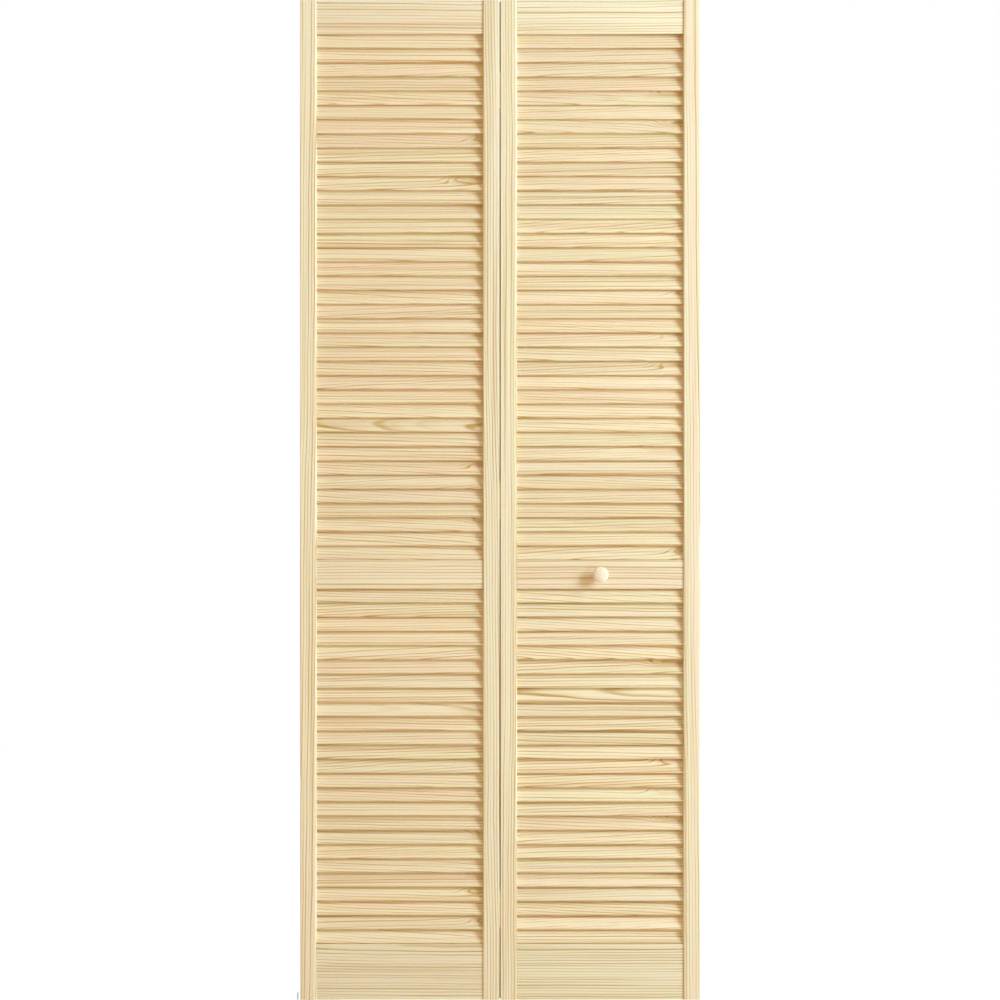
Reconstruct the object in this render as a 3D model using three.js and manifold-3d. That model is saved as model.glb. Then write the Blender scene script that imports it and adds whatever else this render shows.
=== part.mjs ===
import * as THREE from "three";
import { mergeVertices } from "three/addons/utils/BufferGeometryUtils.js";
import Module from "manifold-3d";

// A louvred pine bifold closet door with the hardware that hangs it, in millimetres.
// Two panels fold back to back on three hinges. The left one turns on pivots beside the jamb, and
// a wheel on the right one follows the track overhead.
// +X runs to the right seen from the room, +Y into the closet, +Z up. The origin is on the floor,
// midway across the opening, in the door's middle plane.

const wasm = await Module();
wasm.setup();

// Door and opening
const panelWidth = 399;
const doorHeight = 2000;
const doorThickness = 28.6;
const seamGap = 2; // between the two closed panels
const sideGap = 6.4; // door to jamb, on each side
const floorGap = 12; // floor to the door's lower edge
const headGap = 9; // door's upper edge to the track
const pivotInset = 19; // door's outer edge to the axis of a pivot or of the guide wheel

// Fits that the pieces share
const runningGap = 0.3; // round a pin, a tenon or a slat in its hole
const glueLine = 0.1; // between faces that are glued or screwed together
const overrun = 2; // how far a cutter passes the face it leaves
const weldDistance = 1e-4;

const openingWidth = 2 * (panelWidth + sideGap) + seamGap;
const panelOffset = (panelWidth + seamGap) / 2;
const pivotX = openingWidth / 2 - sideGap - pivotInset;
const doorTop = floorGap + doorHeight;
const trackBottom = doorTop + headGap;
const quarterTurn = Math.PI / 2;
const fullTurn = 2 * Math.PI;

// Materials
const pine = new THREE.MeshStandardMaterial({ color: 0xefdcb4, roughness: 0.62 });
const pineSlats = new THREE.MeshStandardMaterial({ color: 0xecd6a9, roughness: 0.6 });
const turnedBirch = new THREE.MeshStandardMaterial({ color: 0xf2e2c2, roughness: 0.45 });
const aluminium = new THREE.MeshStandardMaterial({ color: 0xc9ccd0, roughness: 0.38, metalness: 1 });
const zincSteel = new THREE.MeshStandardMaterial({ color: 0xb9bbb8, roughness: 0.35, metalness: 1 });
const brassPlate = new THREE.MeshStandardMaterial({ color: 0xc8a75e, roughness: 0.32, metalness: 1 });
const nylon = new THREE.MeshStandardMaterial({ color: 0xf1f0ea, roughness: 0.5 });

// Solid tools
function solidOf(geometry) {
  const bare = geometry.index ? geometry.toNonIndexed() : geometry.clone();
  bare.deleteAttribute("normal");
  bare.deleteAttribute("uv");
  const merged = mergeVertices(bare, weldDistance);
  const mesh = new wasm.Mesh({
    numProp: 3,
    vertProperties: merged.attributes.position.array,
    triVerts: new Uint32Array(merged.index.array),
  });
  return new wasm.Manifold(mesh);
}

function geometryOf(solid) {
  const mesh = solid.getMesh();
  const geometry = new THREE.BufferGeometry();
  geometry.setAttribute("position", new THREE.BufferAttribute(mesh.vertProperties, 3));
  geometry.setIndex(new THREE.BufferAttribute(mesh.triVerts, 1));
  geometry.computeVertexNormals();
  return geometry;
}

function join(...geometries) {
  return geometryOf(wasm.Manifold.union(geometries.map(solidOf)));
}

function cut(geometry, ...cutters) {
  return geometryOf(solidOf(geometry).subtract(wasm.Manifold.union(cutters.map(solidOf))));
}

// Shapes
function arc(centreX, centreY, radius, from, to, steps) {
  return Array.from({ length: steps + 1 }, (_, i) => {
    const angle = from + ((to - from) * i) / steps;
    return new THREE.Vector2(centreX + radius * Math.cos(angle), centreY + radius * Math.sin(angle));
  });
}

const cornerSteps = 3;

// A rectangle about its centre, its corners rounded in turn from the +X +Y one, anticlockwise.
function roundedRectangle(width, height, radii) {
  const corners = [[1, 1], [-1, 1], [-1, -1], [1, -1]];
  return corners.flatMap(([signX, signY], i) => {
    const radius = radii[i];
    const x = signX * (width / 2 - radius);
    const y = signY * (height / 2 - radius);
    return arc(x, y, radius, i * quarterTurn, (i + 1) * quarterTurn, cornerSteps);
  });
}

function extruded(outline, length) {
  return new THREE.ExtrudeGeometry(new THREE.Shape(outline), { depth: length, bevelEnabled: false });
}

// An outline drawn in X and Y, swept up from a height.
function alongZ(outline, bottom, height) {
  return extruded(outline, height).translate(0, 0, bottom);
}

// An outline drawn in Y and Z, swept to the right from a place on X.
function alongX(outline, left, length) {
  const turn = new THREE.Matrix4().set(0, 0, 1, 0, 1, 0, 0, 0, 0, 1, 0, 0, 0, 0, 0, 1);
  return extruded(outline, length).applyMatrix4(turn).translate(left, 0, 0);
}

function block(left, right, front, back, bottom, top) {
  const box = new THREE.BoxGeometry(right - left, back - front, top - bottom);
  return box.translate((left + right) / 2, (front + back) / 2, (bottom + top) / 2);
}

// A profile of [radius, height] pairs, turned about Z. It starts and ends on the axis or closes.
function turned(profile, sides) {
  const points = profile.map(([radius, height]) => new THREE.Vector2(radius, height));
  return new THREE.LatheGeometry(points, sides).rotateX(quarterTurn);
}

function rod(radius, bottom, top, sides) {
  return turned([[0, bottom], [radius, bottom], [radius, top], [0, top]], sides);
}

function piece(group, name, geometry, material) {
  const mesh = new THREE.Mesh(geometry, material);
  mesh.name = name;
  group.add(mesh);
  return mesh;
}

// Stiles: full-height pine uprights, rounded more on the edges beside the slats
const stileWidth = 33;
const outerEdgeRadius = 1.5;
const innerEdgeRadius = 3;

// Rails: set in from the stiles' faces and held by stub tenons
const railThickness = 22.2;
const railEdgeRadius = 1;
const topRailHeight = 67;
const middleRailHeight = 57;
const bottomRailHeight = 111;
const middleRailCentre = 851; // above the door's lower edge, where the knob goes
const tenonLength = 7;
const tenonThickness = 9;
const tenonSetback = 12; // from the rail's upper and lower edges

// Louvres: flat slats with round edges, the edge towards the room low
const slatWidth = 35;
const slatThickness = 6.4;
const slatLean = THREE.MathUtils.degToRad(24); // from upright
const slatSpacing = 28.45; // each bank takes the nearest whole number of slats
const slatFootGap = 0.3; // the lowest slat above its rail
const slatSeat = 7; // the slat's end inside the stile
const rabbetGap = 0.6; // round the top slat where it laps behind its rail
const slatEdgeSteps = 3;

const slatHalfSpan = (slatWidth - slatThickness) / 2;
const slatHalfHeight = slatHalfSpan * Math.cos(slatLean) + slatThickness / 2;

// A slat's section in Y and Z about its centre, larger by a gap all round where it is a cutter.
function slatOutline(gap) {
  const radius = slatThickness / 2 + gap;
  const upward = quarterTurn - slatLean;
  const y = slatHalfSpan * Math.sin(slatLean);
  const z = slatHalfSpan * Math.cos(slatLean);
  return [
    ...arc(y, z, radius, upward - quarterTurn, upward + quarterTurn, slatEdgeSteps),
    ...arc(-y, -z, radius, upward + quarterTurn, upward + 3 * quarterTurn, slatEdgeSteps),
  ];
}

// How far back the slat's front face lies at a height above the slat's centre.
function slatFaceY(height) {
  const half = slatThickness / 2;
  const along = (height - half * Math.sin(slatLean)) / Math.cos(slatLean);
  return along * Math.sin(slatLean) - half * Math.cos(slatLean);
}

const rails = [
  { name: "bottom_rail", bottom: 0, height: bottomRailHeight },
  { name: "middle_rail", bottom: middleRailCentre - middleRailHeight / 2, height: middleRailHeight },
  { name: "top_rail", bottom: doorHeight - topRailHeight, height: topRailHeight },
];

// The heights of the slats' centres above the door's lower edge, one list for each bank.
const banks = [0, 1].map((i) => {
  const bottom = rails[i].bottom + rails[i].height;
  const height = rails[i + 1].bottom - bottom;
  const count = Math.max(1, Math.round(height / slatSpacing));
  const first = bottom + slatFootGap + slatHalfHeight;
  return Array.from({ length: count }, (_, k) => first + (k * height) / count);
});

// Sockets: nylon sleeves in bores in the stiles' ends, closed at the bottom of the bore
const socketRadius = 5.5;
const socketLength = 40;
const socketFloor = 2;
const flangeRadius = 8;
const flangeThickness = 1;
const throatLength = 2; // the narrow neck that keeps a plunger in
const chamberRadius = 4.2;
const roundSides = 12;

const boreRadius = socketRadius + runningGap;
const boreLength = socketLength + runningGap;

// Butt hinges that need no recess: both leaves lie in one thickness, one inside the other's window
const hingeHeight = 76;
const hingeEndDistance = 180; // the outer hinges' centres from the door's ends
const leafThickness = 1.5;
const outerLeafReach = 28; // from the pin's axis to the leaf's far edge
const innerLeafReach = 17.5;
const innerLeafHeight = 44;
const leafGap = 0.5; // between the nested leaves and between the knuckles
const knuckleRadius = 3.2;
const hingePinRadius = 1.6;
const hingePinHeadRadius = 2.6;
const hingePinHead = 1.2;
const leafCornerRadius = 3;
const screwSetback = 9; // screws in the leaves from the pin's axis
const innerScrewSpacing = 26;
const knuckleSides = 12;

// Countersunk wood screws
const screwHeadRadius = 3.2;
const screwShankRadius = 1.7;
const screwLength = 22;
const screwPoint = 5;
const screwSides = 8;

const hingePinY = doorThickness / 2 + knuckleRadius;
const outerLeafFront = hingePinY - outerLeafReach;
const windowFront = hingePinY - innerLeafReach - leafGap;
const windowHalf = innerLeafHeight / 2 + leafGap;
const leafRest = seamGap / 2 - glueLine; // a leaf's back face from the middle of the seam
const armScrewHeight = (hingeHeight / 2 + windowHalf) / 2;
const outerLeafScrews = [
  { y: hingePinY - screwSetback, z: armScrewHeight },
  { y: (outerLeafFront + windowFront) / 2, z: 0 },
  { y: hingePinY - screwSetback, z: -armScrewHeight },
];
const innerLeafScrews = [1, -1].map((sign) => ({
  y: hingePinY - screwSetback,
  z: (sign * innerScrewSpacing) / 2,
}));
const hinges = [
  { name: "top", height: doorHeight - hingeEndDistance },
  { name: "middle", height: doorHeight / 2 },
  { name: "bottom", height: hingeEndDistance },
];

// Meeting edges: a lip on the pivot panel's stile laps into a rebate in the lead panel's, which
// keeps light out of the seam. Both stop at the hinges.
const lipReach = 3; // from the seam face of its stile
const lipThickness = 5;
const lipSetback = 1.5; // from the door's back face
const lapGap = 0.8; // round the lip, for the swing of the panels

const lipBack = doorThickness / 2 - lipSetback;
const lipFront = lipBack - lipThickness;

// The heights between the hinges, each from a lower to an upper end.
function lapSpans(fromHinge, pastEnds) {
  const half = hingeHeight / 2 + fromHinge;
  const stops = hinges.flatMap(({ height }) => [height + half, height - half]);
  const heights = [doorHeight + pastEnds, ...stops, -pastEnds];
  return Array.from({ length: hinges.length + 1 }, (_, i) => [heights[2 * i + 1], heights[2 * i]]);
}

function seamLips() {
  const face = panelWidth / 2;
  return lapSpans(lapGap, 0).map(([bottom, top]) =>
    block(face - overrun, face + lipReach, lipFront, lipBack, bottom, top)
  );
}

function seamRebates() {
  const face = -panelWidth / 2;
  const depth = lipReach - seamGap + lapGap;
  const back = doorThickness / 2 + overrun;
  return lapSpans(0, overrun).map(([bottom, top]) =>
    block(face - overrun, face + depth, lipFront - lapGap, back, bottom, top)
  );
}

// A wood screw pointing down, the top of its head at height 0.
function screwProfile(gap) {
  const shank = screwShankRadius + gap;
  return [
    [0, -screwLength - gap],
    [shank, screwPoint - screwLength - gap],
    [shank, -leafThickness],
    [screwHeadRadius + gap, 0],
    [0, 0],
  ];
}

// The same shape as a cutter: it runs on past the head.
function screwCutter() {
  const profile = screwProfile(runningGap).slice(0, -1);
  const headRadius = screwHeadRadius + runningGap;
  return turned([...profile, [headRadius, overrun], [0, overrun]], screwSides);
}

// Turns a screw from pointing down to pointing across the door: towards -X for side -1.
function acrossDoor(side) {
  return side * -quarterTurn;
}

function screwCuttersAt(side, places, height) {
  const faceX = side * (leafRest - leafThickness);
  return places.map(({ y, z }) =>
    screwCutter().rotateY(acrossDoor(side)).translate(faceX, y, z + height)
  );
}

// Knob: a turned birch knob screwed on through the middle rail
const knobRadius = 16;
const knobProjection = 27;
const knobFootRadius = 9.5;
const knobFootHeight = 2.5;
const knobNeckRadius = 6.5;
const knobHeadHeight = 13; // the part above the neck
const knobSides = 24;
const knobHeadSteps = 8;
const knobNeckSteps = 4;
const knobScrewRadius = 2;
const knobScrewHeadRadius = 4.4;
const knobScrewHead = 2.2;
const knobScrewBite = 12; // the screw's length inside the knob

const knobHoleRadius = knobScrewRadius + runningGap;

// Panel frames. side is -1 for the pivot panel on the left and +1 for the lead panel; a panel's own
// frame stands on its lower edge, midway across it.
function stileBlank(side, towardsSlats) {
  const inner = innerEdgeRadius;
  const outer = outerEdgeRadius;
  const radii = towardsSlats > 0 ? [inner, outer, outer, inner] : [outer, inner, inner, outer];
  const blank = alongZ(roundedRectangle(stileWidth, doorThickness, radii), 0, doorHeight);
  return blank.translate((side * (panelWidth - stileWidth)) / 2, 0, 0);
}

function mortises(stileSide) {
  const face = stileSide * (panelWidth / 2 - stileWidth);
  const bottomOfMortise = face + stileSide * (tenonLength + glueLine + runningGap);
  const mouth = face - stileSide * overrun;
  const depth = tenonThickness / 2 + runningGap;
  return rails.map(({ bottom, height }) =>
    block(
      Math.min(bottomOfMortise, mouth),
      Math.max(bottomOfMortise, mouth),
      -depth,
      depth,
      bottom + tenonSetback - runningGap,
      bottom + height - tenonSetback + runningGap
    )
  );
}

function slatSlots(stileSide) {
  const face = stileSide * (panelWidth / 2 - stileWidth);
  const length = slatSeat + runningGap + overrun;
  const left = stileSide > 0 ? face - overrun : face + overrun - length;
  return banks.flat().map((height) =>
    alongX(slatOutline(runningGap), left, length).translate(0, 0, height)
  );
}

// The bore for a socket, from the panel's top or bottom end.
function socketBore(side, atTop) {
  const x = side * (panelWidth / 2 - pivotInset);
  const bottom = atTop ? doorHeight - boreLength : -overrun;
  return rod(boreRadius, bottom, bottom + boreLength + overrun, roundSides).translate(x, 0, 0);
}

function boresIn(side) {
  return side < 0 ? [socketBore(side, true), socketBore(side, false)] : [socketBore(side, true)];
}

// The upright at the panel's outer edge, mortised for the rails and slotted for the slats.
function outerStile(side) {
  return cut(stileBlank(side, -side), ...mortises(side), ...slatSlots(side), ...boresIn(side));
}

// The upright at the seam. The slats are glued into it, so they are one with it here.
function louvreStile(side) {
  const face = -side * (panelWidth / 2 - stileWidth);
  const far = side * (panelWidth / 2 - stileWidth + slatSeat);
  const near = face - side * slatSeat;
  const slats = banks.flat().map((height) =>
    alongX(slatOutline(0), Math.min(near, far), Math.abs(far - near)).translate(0, 0, height)
  );
  const screws = side < 0 ? outerLeafScrews : innerLeafScrews;
  const pilots = hinges.flatMap(({ height }) =>
    screwCuttersAt(side, screws, height).map((cutter) => cutter.translate(-side * panelOffset, 0, 0))
  );
  const lips = side < 0 ? seamLips() : [];
  const rebates = side < 0 ? [] : seamRebates();
  const blank = join(stileBlank(-side, side), ...slats, ...lips);
  return cut(blank, ...mortises(-side), ...pilots, ...rebates);
}

function rail(side, index) {
  const { bottom, height } = rails[index];
  const half = panelWidth / 2 - stileWidth - glueLine;
  const edge = railEdgeRadius;
  const outline = roundedRectangle(railThickness, height, [edge, edge, edge, edge]);
  const board = alongX(outline, -half, 2 * half).translate(0, 0, bottom + height / 2);
  const tenonHalf = half + tenonLength;
  const tenons = block(
    -tenonHalf,
    tenonHalf,
    -tenonThickness / 2,
    tenonThickness / 2,
    bottom + tenonSetback,
    bottom + height - tenonSetback
  );
  return cut(join(board, tenons), ...boresIn(side), ...slatRabbet(index), ...knobHole(side, index));
}

// Above a bank, the rail's lower back edge is cut away where the top slat laps behind it.
function slatRabbet(index) {
  if (index === 0) return [];
  const topSlat = banks[index - 1].at(-1);
  const front = slatFaceY(rails[index].bottom - topSlat) - rabbetGap;
  const top = topSlat + slatHalfHeight + rabbetGap;
  const half = panelWidth / 2 - stileWidth + overrun;
  return [block(-half, half, front, railThickness / 2 + overrun, topSlat, top)];
}

function knobHole(side, index) {
  if (side < 0 || index !== 1) return [];
  const reach = railThickness / 2 + overrun;
  const hole = rod(knobHoleRadius, -reach, reach, screwSides);
  return [hole.rotateX(quarterTurn).translate(0, 0, middleRailCentre)];
}

function panelFrame(side, label) {
  const group = new THREE.Group();
  group.position.set(side * panelOffset, 0, floorGap);
  piece(group, `${label}_outer_stile`, outerStile(side), pine);
  piece(group, `${label}_hinge_stile_with_slats`, louvreStile(side), pineSlats);
  rails.forEach(({ name }, index) => piece(group, `${label}_${name}`, rail(side, index), pine));
  return group;
}

function knob() {
  const neckTop = knobProjection - knobHeadHeight;
  const headHalf = knobHeadHeight / 2;
  const headCentre = neckTop + headHalf;
  const undercut = Math.acos(knobNeckRadius / knobRadius);
  const head = Array.from({ length: knobHeadSteps + 1 }, (_, i) => {
    const angle = -undercut + ((undercut + quarterTurn) * i) / knobHeadSteps;
    return [knobRadius * Math.cos(angle), headCentre + headHalf * Math.sin(angle)];
  });
  head[knobHeadSteps][0] = 0;
  const neckHeight = head[0][1] - knobFootHeight;
  const neck = Array.from({ length: knobNeckSteps }, (_, i) => {
    const share = i / knobNeckSteps;
    const flare = (knobFootRadius - knobNeckRadius) * (1 - Math.sin(quarterTurn * share));
    return [knobNeckRadius + flare, knobFootHeight + neckHeight * share];
  });
  const holeDepth = knobScrewBite + runningGap;
  const foot = [[0, holeDepth], [knobHoleRadius, holeDepth], [knobHoleRadius, 0], [knobFootRadius, 0]];
  return turned([...foot, ...neck, ...head], knobSides);
}

function knobScrew() {
  const tip = railThickness + glueLine + knobScrewBite;
  const headTop = -knobScrewHead;
  const headArc = arc(0, 0, 1, 0, quarterTurn, cornerSteps).map(({ x, y }) => [
    knobScrewHeadRadius * x,
    headTop * y - glueLine,
  ]);
  headArc[cornerSteps][0] = 0;
  const shank = [[knobScrewRadius, -glueLine], [knobScrewRadius, tip], [0, tip]];
  return turned([...headArc.reverse(), ...shank], roundSides);
}

function addKnob(leadPanel) {
  const front = -railThickness / 2;
  const knobMesh = piece(leadPanel, "knob", knob(), turnedBirch);
  knobMesh.rotation.x = quarterTurn;
  knobMesh.position.set(0, front - glueLine, middleRailCentre);
  const screwMesh = piece(leadPanel, "knob_screw", knobScrew(), zincSteel);
  screwMesh.rotation.x = quarterTurn;
  screwMesh.position.set(0, -front, middleRailCentre);
}

// Hinges
function knuckle(bottom, top) {
  return rod(knuckleRadius, bottom, top, knuckleSides).translate(0, hingePinY, 0);
}

function hingeBore() {
  const reach = hingeHeight / 2 + overrun;
  return rod(hingePinRadius + runningGap, -reach, reach, knuckleSides).translate(0, hingePinY, 0);
}

// A leaf's outline in Y and Z: round corners in front, and the points behind from below to above.
function leafOutline(front, end, behind) {
  const y = front + leafCornerRadius;
  const z = end - leafCornerRadius;
  return [
    ...arc(y, -z, leafCornerRadius, 2 * quarterTurn, 3 * quarterTurn, cornerSteps),
    ...behind.map(([pointY, pointZ]) => new THREE.Vector2(pointY, pointZ)),
    ...arc(y, z, leafCornerRadius, quarterTurn, 2 * quarterTurn, cornerSteps),
  ];
}

// The leaf on the pivot panel: a frame round a window that opens towards the pin.
function outerLeaf() {
  const end = hingeHeight / 2;
  const behind = [
    [hingePinY, -end],
    [hingePinY, -windowHalf],
    [windowFront, -windowHalf],
    [windowFront, windowHalf],
    [hingePinY, windowHalf],
    [hingePinY, end],
  ];
  const plate = alongX(leafOutline(outerLeafFront, end, behind), -leafRest, leafThickness);
  const knuckles = [knuckle(windowHalf, end), knuckle(-end, -windowHalf)];
  return cut(join(plate, ...knuckles), hingeBore(), ...screwCuttersAt(-1, outerLeafScrews, 0));
}

// The leaf on the lead panel, which nests in the other's window.
function innerLeaf() {
  const end = innerLeafHeight / 2;
  const outline = leafOutline(hingePinY - innerLeafReach, end, [[hingePinY, -end], [hingePinY, end]]);
  const plate = alongX(outline, leafRest - leafThickness, leafThickness);
  return cut(join(plate, knuckle(-end, end)), hingeBore(), ...screwCuttersAt(1, innerLeafScrews, 0));
}

function hingePin() {
  const seat = hingeHeight / 2 + glueLine;
  const end = seat + hingePinHead;
  const profile = [
    [0, -end],
    [hingePinHeadRadius, -end + hingePinHead / 2],
    [hingePinHeadRadius, -seat],
    [hingePinRadius, -seat],
    [hingePinRadius, seat],
    [hingePinHeadRadius, seat],
    [hingePinHeadRadius, end - hingePinHead / 2],
    [0, end],
  ];
  return turned(profile, knuckleSides).translate(0, hingePinY, 0);
}

function addScrews(group, name, side, places) {
  places.forEach(({ y, z }, i) => {
    const screw = piece(group, `${name}_screw_${i + 1}`, turned(screwProfile(0), screwSides), brassPlate);
    screw.rotation.y = acrossDoor(side);
    screw.position.set(side * (leafRest - leafThickness), y, z);
  });
}

function hinge({ name, height }) {
  const group = new THREE.Group();
  group.position.set(0, 0, floorGap + height);
  piece(group, `${name}_hinge_outer_leaf`, outerLeaf(), brassPlate);
  piece(group, `${name}_hinge_inner_leaf`, innerLeaf(), brassPlate);
  piece(group, `${name}_hinge_pin`, hingePin(), brassPlate);
  addScrews(group, `${name}_hinge_outer`, -1, outerLeafScrews);
  addScrews(group, `${name}_hinge_inner`, 1, innerLeafScrews);
  return group;
}

// Track: an aluminium channel on the header, open below between two small lips
const trackWidth = 28.6;
const trackHeight = 19;
const trackWall = 1.6;
const trackSlot = 22.2; // between the lips
const trackEndGap = 0.5; // the track stops short of each jamb
const trackHoleRadius = 2.4;
const trackHoleHead = 4.6; // countersunk from inside
const trackHoles = 4;
const trackHoleEnd = 60; // the outermost holes from the track's ends

const trackLength = openingWidth - 2 * trackEndGap;
const trackTop = trackBottom + trackHeight;
const roofUnderside = trackTop - trackWall;
const lipTop = trackBottom + trackWall;

function countersunkHole(radius, headRadius, thickness) {
  const far = thickness + overrun;
  const head = [[0, -overrun], [headRadius, -overrun], [headRadius, 0]];
  return turned([...head, [radius, thickness], [radius, far], [0, far]], screwSides);
}

function track() {
  const outer = trackWidth / 2;
  const inner = outer - trackWall;
  const lip = trackSlot / 2;
  const rightHalf = [
    [lip, trackBottom],
    [outer, trackBottom],
    [outer, trackTop],
  ];
  const rightInside = [
    [inner, roofUnderside],
    [inner, lipTop],
    [lip, lipTop],
  ];
  const mirrored = (points) => points.map(([y, z]) => [-y, z]).reverse();
  const section = [...rightHalf, ...mirrored(rightHalf), ...mirrored(rightInside), ...rightInside];
  const outline = section.map(([y, z]) => new THREE.Vector2(y, z));
  const span = trackLength - 2 * trackHoleEnd;
  const holes = Array.from({ length: trackHoles }, (_, i) => {
    const x = span * (i / (trackHoles - 1) - 0.5);
    return countersunkHole(trackHoleRadius, trackHoleHead, trackWall).translate(x, 0, roofUnderside);
  });
  return cut(alongX(outline, -trackLength / 2, trackLength), ...holes);
}

// Spring plungers: the top pivot's pin and the guide's pin
const plungerPinRadius = 3;
const plungerCollarRadius = 3.9;
const plungerCollar = 3;
const pivotPinRise = 9.5; // the top pivot's tip above the track's lower edge

const throatRadius = plungerPinRadius + runningGap;
const collarTop = -throatLength - runningGap; // measured from the door's upper edge
const chamberFloor = socketFloor - socketLength;

function plungerSocket() {
  const profile = [
    [0, -socketLength],
    [socketRadius, -socketLength],
    [socketRadius, glueLine],
    [flangeRadius, glueLine],
    [flangeRadius, flangeThickness],
    [throatRadius, flangeThickness],
    [throatRadius, -throatLength],
    [chamberRadius, -throatLength],
    [chamberRadius, chamberFloor],
    [0, chamberFloor],
  ];
  return turned(profile, roundSides);
}

function plungerFoot() {
  return [
    [0, collarTop - plungerCollar],
    [plungerCollarRadius, collarTop - plungerCollar],
    [plungerCollarRadius, collarTop],
    [plungerPinRadius, collarTop],
  ];
}

function topPivotPin() {
  const tip = headGap + pivotPinRise;
  const chamfer = plungerPinRadius / 3;
  const nose = [[plungerPinRadius, tip - chamfer], [plungerPinRadius - chamfer, tip], [0, tip]];
  return turned([...plungerFoot(), ...nose], roundSides);
}

// Guide wheel: nylon, between the track's lips on a riveted pin
const wheelRadius = 10.6;
const wheelThickness = 5;
const wheelRise = 0.3; // the wheel's lower face above the track's lower edge
const wheelEdge = 1;
const rivetRadius = 4.6;
const rivetThickness = 1;
const shoulderRadius = 5;
const shoulderThickness = 0.7;
const wheelSides = 20;

const wheelBottom = headGap + wheelRise; // these two are measured from the door's upper edge
const wheelTop = wheelBottom + wheelThickness;

function guidePin() {
  const shoulderTop = wheelBottom - runningGap;
  const rivetBottom = wheelTop + runningGap;
  const profile = [
    ...plungerFoot(),
    [plungerPinRadius, shoulderTop - shoulderThickness],
    [shoulderRadius, shoulderTop - shoulderThickness],
    [shoulderRadius, shoulderTop],
    [plungerPinRadius, shoulderTop],
    [plungerPinRadius, rivetBottom],
    [rivetRadius, rivetBottom],
    [rivetRadius - rivetThickness / 2, rivetBottom + rivetThickness],
    [0, rivetBottom + rivetThickness],
  ];
  return turned(profile, roundSides);
}

function guideWheel() {
  const bore = plungerPinRadius + runningGap;
  const profile = [
    [bore, wheelBottom],
    [wheelRadius - wheelEdge, wheelBottom],
    [wheelRadius, wheelBottom + wheelEdge],
    [wheelRadius, wheelTop - wheelEdge],
    [wheelRadius - wheelEdge, wheelTop],
    [bore, wheelTop],
    [bore, wheelBottom],
  ];
  return turned(profile, wheelSides);
}

// Plunger springs: one wire each, wound between the socket's floor and the pin's collar
const wireRadius = 0.5;
const springTurns = 6;
const springRadius = 3.2; // of the wire's centreline
const wireSides = 4;
const stepsPerTurn = 8;

function plungerSpring(name) {
  const bottom = chamberFloor + runningGap + wireRadius;
  const top = collarTop - plungerCollar - runningGap - wireRadius;
  const steps = springTurns * stepsPerTurn;
  const centres = Array.from({ length: steps + 1 }, (_, i) => {
    const angle = (fullTurn * i) / stepsPerTurn;
    const z = bottom + ((top - bottom) * i) / steps;
    return new THREE.Vector3(springRadius * Math.cos(angle), springRadius * Math.sin(angle), z);
  });
  const apart = centres.slice(stepsPerTurn).map((point, i) => point.distanceTo(centres[i]));
  console.log(`${name}: least gap between turns ${(Math.min(...apart) - 2 * wireRadius).toFixed(2)} mm`);
  const rings = centres.map((centre, i) => {
    const outward = new THREE.Vector3(centre.x, centre.y, 0).normalize();
    return Array.from({ length: wireSides }, (_, k) => {
      const angle = (fullTurn * k) / wireSides;
      const point = centre.clone().addScaledVector(outward, wireRadius * Math.cos(angle));
      return point.setZ(centre.z - wireRadius * Math.sin(angle));
    });
  });
  return tubeThrough(rings);
}

// Closed skin over a row of like rings of points, with a flat cap on each end.
function tubeThrough(rings) {
  const sides = rings[0].length;
  const faces = [];
  rings.slice(1).forEach((_, i) => {
    for (let k = 0; k < sides; k += 1) {
      const a = i * sides + k;
      const b = i * sides + ((k + 1) % sides);
      faces.push(a, b, b + sides, a, b + sides, a + sides);
    }
  });
  const last = (rings.length - 1) * sides;
  for (let k = 1; k < sides - 1; k += 1) {
    faces.push(0, k + 1, k, last, last + k, last + k + 1);
  }
  const geometry = new THREE.BufferGeometry().setFromPoints(rings.flat());
  geometry.setIndex(faces);
  geometry.computeVertexNormals();
  return geometry;
}

// Top pivot bracket: a steel slide on the track's lips, locked by a screw against the roof
const bracketPlate = 2.5;
const bracketBossRadius = 6;
const bracketBossHeight = 6;
const bracketLength = 58;
const bracketJambEnd = 14; // from the pivot to the bracket's end at the jamb
const bracketTabHeight = 9;
const bracketTabThickness = 2;
const lockScrewRadius = 2.5;
const lockScrewDistance = 30; // from the pivot
const lockScrewHex = 1.5; // across the corners of its socket, halved
const lockScrewHexDepth = 3;
const hexSides = 6;

const bracketBottom = lipTop + runningGap;
const bracketTop = bracketBottom + bracketPlate;

function topPivotBracket() {
  const half = trackWidth / 2 - trackWall - runningGap;
  const left = -bracketJambEnd;
  const right = left + bracketLength;
  const tabTop = bracketTop + bracketTabHeight;
  const plate = block(left, right, -half, half, bracketBottom, bracketTop);
  const tab = block(left, left + bracketTabThickness, -half, half, bracketBottom, tabTop);
  const farTab = block(right - bracketTabThickness, right, -half, half, bracketBottom, tabTop);
  const boss = rod(bracketBossRadius, bracketBottom, bracketTop + bracketBossHeight, roundSides);
  const above = bracketTop + bracketBossHeight + overrun;
  const pinHole = rod(throatRadius, bracketBottom - overrun, above, roundSides);
  const lockHole = rod(lockScrewRadius + runningGap, bracketBottom - overrun, above, roundSides);
  return cut(join(plate, tab, farTab, boss), pinHole, lockHole.translate(lockScrewDistance, 0, 0));
}

function lockScrew() {
  const bottom = trackBottom;
  const body = rod(lockScrewRadius, bottom, roofUnderside - runningGap, roundSides);
  return cut(body, rod(lockScrewHex, bottom - overrun, bottom + lockScrewHexDepth, hexSides));
}

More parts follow.
